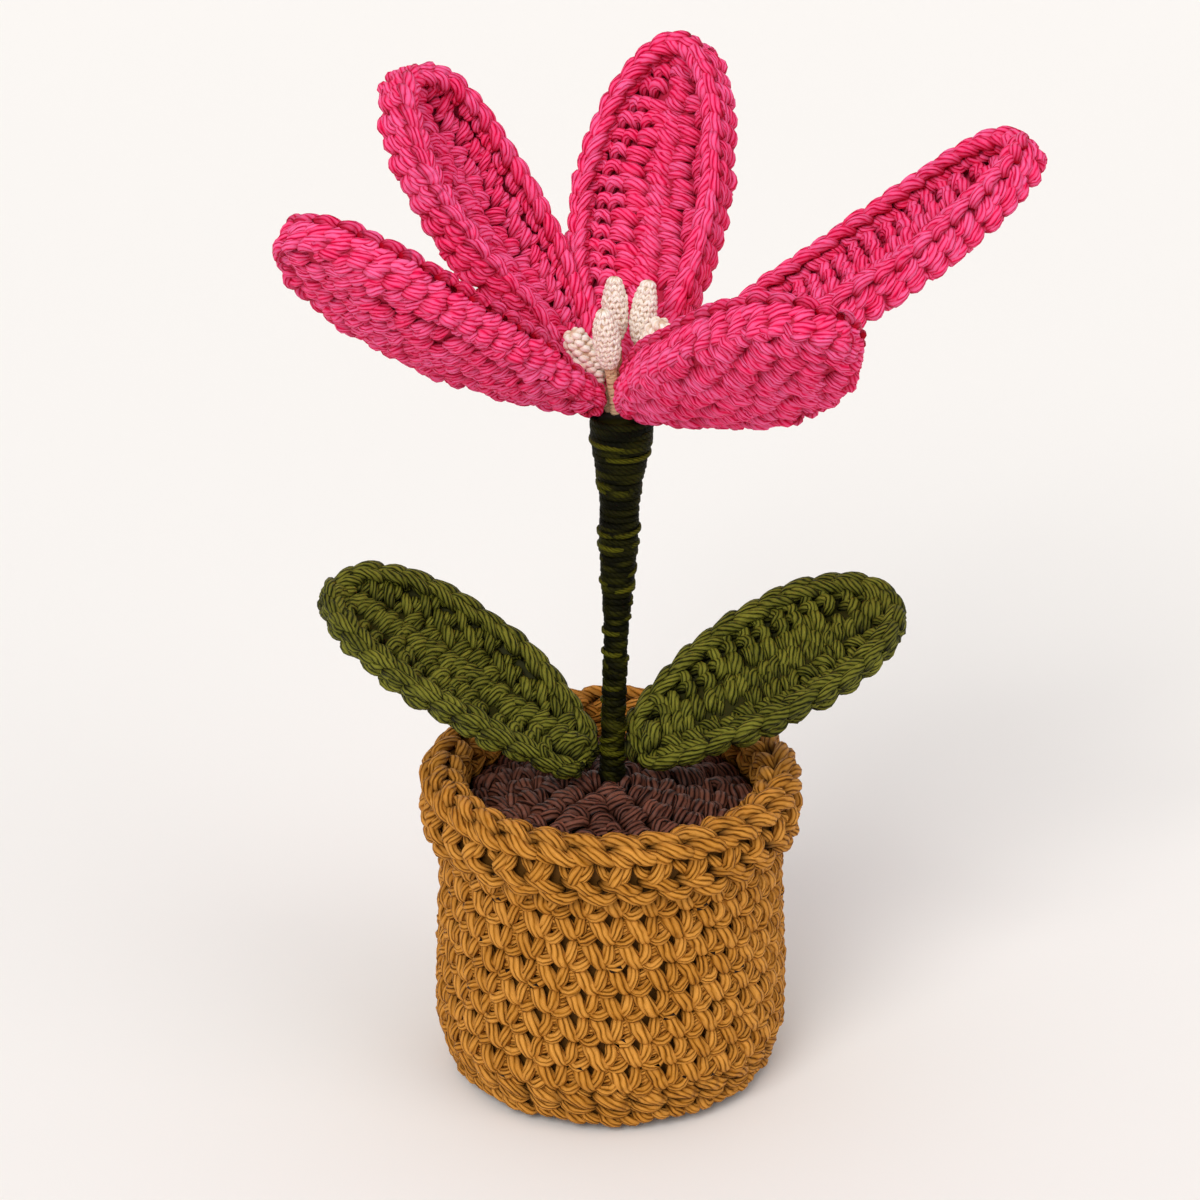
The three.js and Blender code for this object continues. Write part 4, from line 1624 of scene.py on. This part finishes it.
class Leaves:
    """The two leaves at the stem's foot."""

    TABLE = (
        ("leaf_left", 163.0, 29.0, 29.0, 55.0, -17.0, 0.0, -1.0, (-4.8, -2.6, 58.6)),
        ("leaf_right", 10.0, 27.0, 22.0, 53.0, 28.0, -8.0, 12.0, (4.9, -0.8, 60.0)),
    )

    def build(self) -> list[Blade]:
        """Makes both leaves.

        Returns:
            The leaves.
        """
        return [
            Blade(name, LEAF, *shape, root, 41 + number)
            for number, (name, *shape, root) in enumerate(self.TABLE)
        ]


# --------------------------------------------------------------------------------------
# Stem, stamens and filling
# --------------------------------------------------------------------------------------


@dataclass
class Stem:
    """The thread wound round the stem's wire, from the soil up to the flower."""

    bottom: float = 55.2
    turns: int = 66

    def centre(self, z: Array) -> Array:
        """The axis: upright in the pot, then leaning slightly."""
        share = np.maximum((z - STEM_FOOT[1]) / (STEM_TOP[1] - STEM_FOOT[1]), 0.0)
        return STEM_FOOT[0] + (STEM_TOP[0] - STEM_FOOT[0]) * share

    def radius(self, z: Array) -> Array:
        """The winding's radius: a waist, a shoulder, a cup under the petals and a thick foot."""
        shoulder = 1.35 * ease((z - 80.0) / 24.0)
        cup = 1.9 * ease((z - 107.0) / 14.0)
        return 2.15 + shoulder + cup + 0.25 * ease((66.0 - z) / 12.0)

    def around(self, p: Array) -> Array:
        """Bends fabric coordinates round the stem.

        Args:
            p: Array (..., 3): angle in radians, height, distance out.

        Returns:
            Points in mm.
        """
        z = p[..., 1]
        radius = self.radius(z) + p[..., 2]
        return np.stack([self.centre(z) + radius * np.cos(p[..., 0]), radius * np.sin(p[..., 0]), z], axis=-1)

    def build(self) -> Skein:
        """Lays the windings: level turns of uneven width, with a few slanting over them.

        Returns:
            The stem's strands.
        """
        skein = Skein("stem_winding", 51)
        share = np.linspace(0.0, 1.0, 9)
        start = skein.random.uniform(0.0, TURN, self.turns)
        span = (STEM_TOP[1] - self.bottom - 0.9) / (self.turns - 1)
        height = self.bottom + 0.4 + span * np.arange(self.turns) + skein.random.normal(0.0, 0.12, self.turns)
        tilt = skein.random.normal(0.0, 0.3, self.turns)
        angle = start[:, None] + share * TURN * 1.06
        z = height[:, None] + tilt[:, None] * (share - 0.5)
        level = np.stack([angle, z, np.full_like(z, -0.45)], axis=-1)
        girth = skein.random.uniform(0.75, 1.25, self.turns)
        lay_on(skein, self.around, level, Yarn(0.72, 0.5, 6, 0.9), 26, 0.03, girth)
        loose = 34
        angle = skein.random.uniform(0.0, TURN, loose)[:, None] + share * 3.4
        slope = skein.random.normal(0.0, 1.0, loose)
        z = skein.random.uniform(self.bottom + 3.0, STEM_TOP[1] - 2.0, loose)[:, None] + slope[:, None] * (
            share - 0.5
        )
        out = 0.05 - 0.7 * (2.0 * share - 1.0) ** 4
        over = np.stack([angle, z, np.broadcast_to(out, z.shape)], axis=-1)
        lay_on(skein, self.around, over, Yarn(0.5, 0.34, 6, 0.7), 16, 0.04)
        z = np.linspace(self.bottom, STEM_TOP[1] - 0.4, 30)
        angle = np.linspace(0.0, TURN, 16, endpoint=False)
        p = np.stack(np.broadcast_arrays(angle[None, :], z[:, None], np.array(-0.5)), axis=-1)
        skein.sheet(self.around(p), around=True, caps=True)
        return skein


class PipStyle(Enum):
    """How a stamen's pip is worked."""

    BERRY = "berry"
    KNIT = "knit"


@dataclass
class Stamen:
    """A stamen: a thin neck that swells into a long bead of fine cream yarn.

    Attributes:
        name: Node name.
        lean: Lean from upright in degrees.
        azimuth: Heading in degrees.
        length: Full length in mm.
        style: How the pip is worked.
        seed: Seed of the piece's irregularities.
    """

    name: str
    lean: float
    azimuth: float
    length: float
    style: PipStyle
    seed: int
    root_height: float = 123.4
    root_radius: float = 1.7
    pip_length: float = 10.6
    pip_radius: float = 2.2
    neck_radius: float = 0.9

    def radius(self, a: Array) -> Array:
        """Radius of the bead and neck: a sine power that swells past the neck.

        Args:
            a: Distance from the root.

        Returns:
            Radius in mm.
        """
        t = np.clip((a - self.length + self.pip_length) / self.pip_length, 0.0, 1.0)
        swell = np.sin(np.pi * np.clip(0.96 * t, 0.0, 1.0) ** 0.8) ** 0.4
        return np.maximum(self.pip_radius * swell, np.where(a < self.length - 1.0, self.neck_radius, 0.0))

    def around(self, p: Array) -> Array:
        """Bends fabric coordinates round the stamen.

        Args:
            p: Array (..., 3): angle in radians, distance from the root, distance out.

        Returns:
            Points in mm.
        """
        turn, tilt = np.radians(self.azimuth), np.radians(self.lean)
        axis = np.array([np.sin(tilt) * np.cos(turn), np.sin(tilt) * np.sin(turn), np.cos(tilt)])
        side = unit(np.cross(axis, [np.sin(turn), -np.cos(turn), 0.0]))
        front = np.cross(axis, side)
        root = np.array([self.root_radius * np.cos(turn), self.root_radius * np.sin(turn), self.root_height])
        root = root + np.array([FLOWER_AXIS, 0.0, 0.0])
        radius = self.radius(p[..., 1]) + p[..., 2]
        ring = np.cos(p[..., 0])[..., None] * side + np.sin(p[..., 0])[..., None] * front
        end = np.maximum(p[..., 2], 0.0) * np.clip((p[..., 1] - self.length + 0.8) / 0.8, 0.0, 1.0)
        return root + (p[..., 1] + end)[..., None] * axis + radius[..., None] * ring

    def build(self) -> Skein:
        """Lays the neck's windings and the pip's stitches.

        Returns:
            The stamen's strands.
        """
        skein = Skein(f"{self.name}_stitches", self.seed)
        share = np.linspace(0.0, 1.0, 9)
        neck = self.length - self.pip_length
        turns = int(neck / 0.62)
        z = 0.3 + (neck / turns) * np.arange(turns)[:, None] + 0.6 * share
        angle = skein.random.uniform(0.0, TURN, (turns, 1)) + share * TURN * 1.05
        lay_on(
            skein,
            self.around,
            np.stack([angle, z, np.full_like(z, -0.2)], axis=-1),
            Yarn(0.42, 0.32, 6, 0.9),
            16,
        )
        if self.style is PipStyle.BERRY:
            self._lay_berries(skein, neck)
        else:
            self._lay_stitches(skein, neck)
        a = np.linspace(0.2, self.length - 0.35, 24)
        angle = np.linspace(0.0, TURN, 12, endpoint=False)
        p = np.stack(np.broadcast_arrays(angle[None, :], a[:, None], np.array(-0.3)), axis=-1)
        skein.sheet(self.around(p), around=True, caps=True)
        return skein

    def _lay_berries(self, skein: Skein, neck: float) -> None:
        """Lays rings of small round loops.

        Args:
            skein: The stamen's strands.
            neck: Length of the neck.
        """
        loop = strand(
            (-0.62, 0.1, -0.9), (-0.4, 0.3, 0.0), (0.0, 0.05, 0.22), (0.4, -0.25, 0.0), (0.62, -0.1, -0.9)
        )
        rows = np.arange(neck + 0.9, self.length - 0.2, 1.25)
        for number, a in enumerate(rows):
            radius = max(float(self.radius(a)), 0.55)
            count = max(int(round(TURN * radius / 1.6)), 3)
            angle = (np.arange(count) + 0.5 * (number % 2)) * TURN / count
            at = np.stack([angle, np.full(count, a), np.full(count, -0.15)], axis=-1)
            at = at + skein.random.normal(0.0, 0.07, at.shape)
            size = np.broadcast_to(np.array([1.0 / radius, 1.0, 1.0]), (count, 3))
            lay_on(skein, self.around, copies(loop, at, size), Yarn(0.62, 0.6, 8, 0.6), 9)

    def _lay_stitches(self, skein: Skein, neck: float) -> None:
        """Lays rings of small slanting stitches.

        Args:
            skein: The stamen's strands.
            neck: Length of the neck.
        """
        leg = strand(
            (-0.5, -0.55, -0.7), (-0.35, -0.3, -0.2), (0.0, 0.1, -0.05), (0.2, 0.5, -0.25), (0.25, 0.7, -0.7)
        )
        rows = np.arange(neck + 0.5, self.length - 0.1, 0.95)
        for number, a in enumerate(rows):
            radius = max(float(self.radius(a)), 0.45)
            count = max(int(round(TURN * radius / 1.25)), 3)
            angle = (np.arange(count) + 0.35 * number) * TURN / count
            at = np.stack([angle, np.full(count, a), np.full(count, -0.12)], axis=-1)
            at = at + skein.random.normal(0.0, 0.06, at.shape)
            for way in (1.0, -1.0):
                size = np.broadcast_to(np.array([way / radius, 1.0, 1.0]), (count, 3))
                place = at + np.array([0.3 * (1.0 - way) / radius, 0.0, 0.0])
                lay_on(skein, self.around, copies(leg, place, size), Yarn(0.36, 0.32, 6, 0.6), 8)


class Stamens:
    """The five stamens in the flower's middle."""

    TABLE = (
        ("stamen_1", 25.0, 188.0, 16.2, PipStyle.BERRY),
        ("stamen_2", 12.0, 236.0, 19.6, PipStyle.KNIT),
        ("stamen_3", 4.0, 115.0, 22.5, PipStyle.KNIT),
        ("stamen_4", 10.0, 38.0, 22.0, PipStyle.KNIT),
        ("stamen_5", 19.0, 330.0, 18.4, PipStyle.BERRY),
    )

    def build(self) -> list[Stamen]:
        """Makes each stamen.

        Returns:
            The stamens.
        """
        return [Stamen(*row, 61 + number) for number, row in enumerate(self.TABLE)]


@dataclass
class Stuffing:
    """The hidden fibre filling: a soft cylinder with shallow lumps, round the stem's wire."""

    inset: float = 0.3
    lump: float = 0.5

    def build(self) -> Skein:
        """Makes the closed ring.

        The radius is that of a rounded cylinder, less a small product of sines of the
        angle and the height.

        Returns:
            The filling as one sheet.
        """
        low, high = (np.array(corner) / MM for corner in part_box("pot_stuffing"))
        outer = high[0] - self.inset
        middle, tall = 0.5 * (low[2] + high[2]), 0.5 * (high[2] - low[2]) - self.inset
        turn = np.linspace(0.0, TURN, 40, endpoint=False)[:, None]
        angle = np.linspace(0.0, TURN, 72, endpoint=False)[None, :]
        bore = 2.4
        half = 0.5 * (outer - bore)
        square = np.maximum(np.abs(np.cos(turn)), np.abs(np.sin(turn)))
        stretch = 1.0 / (0.25 + 0.75 * square)
        radius = bore + half + half * np.clip(np.cos(turn) * stretch, -1.0, 1.0)
        z = middle + tall * np.clip(np.sin(turn) * stretch, -1.0, 1.0)
        wave = self.lump * (0.5 + 0.5 * np.sin(7.0 * angle + 0.2 * z) * np.cos(0.3 * z + 3.0 * angle))
        radius = radius - wave * np.clip((radius - bore) / half - 0.5, 0.0, 1.0)
        z = np.broadcast_to(z, radius.shape)
        skein = Skein("pot_fibrefill", 71)
        skein.sheet(
            np.stack([radius * np.cos(angle), radius * np.sin(angle), z], axis=-1), around=True, along=True
        )
        return skein


def dress_wires() -> None:
    """Gives the steel wires, which keep their CAD shapes, a drawn steel finish."""
    steel = bpy.data.materials.new("drawn_steel_wire")
    steel.use_nodes = True
    shader = steel.node_tree.nodes["Principled BSDF"]
    shader.inputs["Base Color"].default_value = linear("A7A9AC")
    shader.inputs["Metallic"].default_value = 1.0
    shader.inputs["Roughness"].default_value = 0.35
    for name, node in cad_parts.items():
        if name.endswith("_wire"):
            node.data.materials.clear()
            node.data.materials.append(steel)


# --------------------------------------------------------------------------------------
# Studio
# --------------------------------------------------------------------------------------


@dataclass
class Studio:
    """The pale floor, the soft lights and the camera.

    Attributes:
        aim_side: Sideways place of the camera's aim, in mm.
        pitch: How far the camera looks down, in degrees.
        distance: From the camera to its aim, in mm.
        lens: Focal length for a 36 mm wide frame.
    """

    aim_side: float = -1.9
    pitch: float = 23.0
    distance: float = 585.0
    lens: float = 102.0

    def build(self) -> None:
        """Makes the camera, the floor and the lights."""
        height = CAD_BOUNDS[1][2]
        bpy.context.scene.view_settings.view_transform = "Standard"
        self._camera(height)
        self._floor()
        self._lights()

    def _camera(self, height: float) -> None:
        """Places the camera so that it looks along +Y and down at the flower's middle.

        Args:
            height: The object's height in metres.
        """
        data = bpy.data.cameras.new("camera")
        data.sensor_width = 36.0
        data.lens = self.lens
        data.clip_start = 0.05
        data.clip_end = 20.0
        camera = bpy.data.objects.new("camera", data)
        tilt = np.radians(self.pitch)
        reach = self.distance * MM
        camera.location = (self.aim_side * MM, -reach * np.cos(tilt), 0.5 * height + reach * np.sin(tilt))
        camera.rotation_euler = (np.pi / 2 - tilt, 0.0, 0.0)
        bpy.context.scene.collection.objects.link(camera)
        bpy.context.scene.camera = camera

    def _floor(self) -> None:
        """A wide sweep: flat under the pot, then curving up far behind it."""
        u = np.linspace(-3.0, 3.0, 13)
        v = np.concatenate([np.linspace(-3.0, 2.0, 12), 2.0 + np.linspace(0.1, 1.5, 12)])
        rise = np.where(v > 2.0, 1.2 * (v - 2.0) ** 2, 0.0)
        x, y = np.meshgrid(u, v, indexing="ij")
        grid = np.stack([x, y, np.broadcast_to(rise, x.shape)], axis=-1)
        rows, columns, _ = grid.shape
        index = np.arange(rows * columns).reshape(rows, columns)
        quads = np.stack([index[:-1, :-1], index[1:, :-1], index[1:, 1:], index[:-1, 1:]], axis=-1)
        mesh = bpy.data.meshes.new("studio_floor")
        mesh.from_pydata(grid.reshape(-1, 3).tolist(), [], quads.reshape(-1, 4).tolist())
        mesh.polygons.foreach_set("use_smooth", np.ones(len(mesh.polygons), dtype=bool))
        paper = bpy.data.materials.new("matt_backdrop_paper")
        paper.use_nodes = True
        shader = paper.node_tree.nodes["Principled BSDF"]
        shader.inputs["Base Color"].default_value = linear("F7F3EE")
        shader.inputs["Roughness"].default_value = 0.9
        shader.inputs["Specular IOR Level"].default_value = 0.1
        mesh.materials.append(paper)
        floor = bpy.data.objects.new("studio_floor", mesh)
        bpy.context.scene.collection.objects.link(floor)

    def _lights(self) -> None:
        """A bright even surround, a broad key from the upper front, a soft fill and a top light.

        Each light is far away, given by its heading from the front and its height in degrees.
        """
        world = bpy.data.worlds.new("studio_surround")
        world.use_nodes = True
        back = world.node_tree.nodes["Background"]
        back.inputs["Color"].default_value = linear("FAFBFF")
        back.inputs["Strength"].default_value = 0.5
        bpy.context.scene.world = world
        for name, heading, height_angle, softness, power in (
            ("key_light", -25.0, 40.0, 32.0, 1.6),
            ("fill_light", 55.0, 28.0, 45.0, 0.5),
            ("top_light", 20.0, 82.0, 40.0, 0.3),
        ):
            data = bpy.data.lights.new(name, "SUN")
            data.angle = np.radians(softness)
            data.energy = power
            data.color = (1.0, 1.0, 1.0)
            lamp = bpy.data.objects.new(name, data)
            lamp.rotation_euler = (np.radians(90.0 - height_angle), 0.0, np.radians(heading))
            bpy.context.scene.collection.objects.link(lamp)


def main() -> None:
    """Builds the studio and every piece, in order."""
    logging.basicConfig(level=logging.INFO, format="%(message)s")
    Studio().build()
    ochre, earth, olive, pink = (finish.material() for finish in (OCHRE, EARTH, OLIVE, PINK))
    pot = Pot()
    for skein in (pot.build_wall(), pot.build_rim(), pot.build_base()):
        show(skein, ochre, "pot_cotton", "pot")
    show(Soil().build(), earth, "soil_cotton", "soil")
    filling = show(Stuffing().build(), FILLING.material(), "fibrefill", "pot_stuffing")
    show(Stem().build(), STEM_THREAD.material(), "stem_thread", "stem_wrap")
    for petal in Petals().build():
        show(petal.build(), pink, "petal_cotton", petal.name)
    for leaf in Leaves().build():
        show(leaf.build(), olive, "leaf_cotton", leaf.name)
    cream = CREAM.material()
    for stamen in Stamens().build():
        show(stamen.build(), cream, "stamen_cotton", stamen.name)
    dress_wires()


if __name__ == "__main__":
    main()
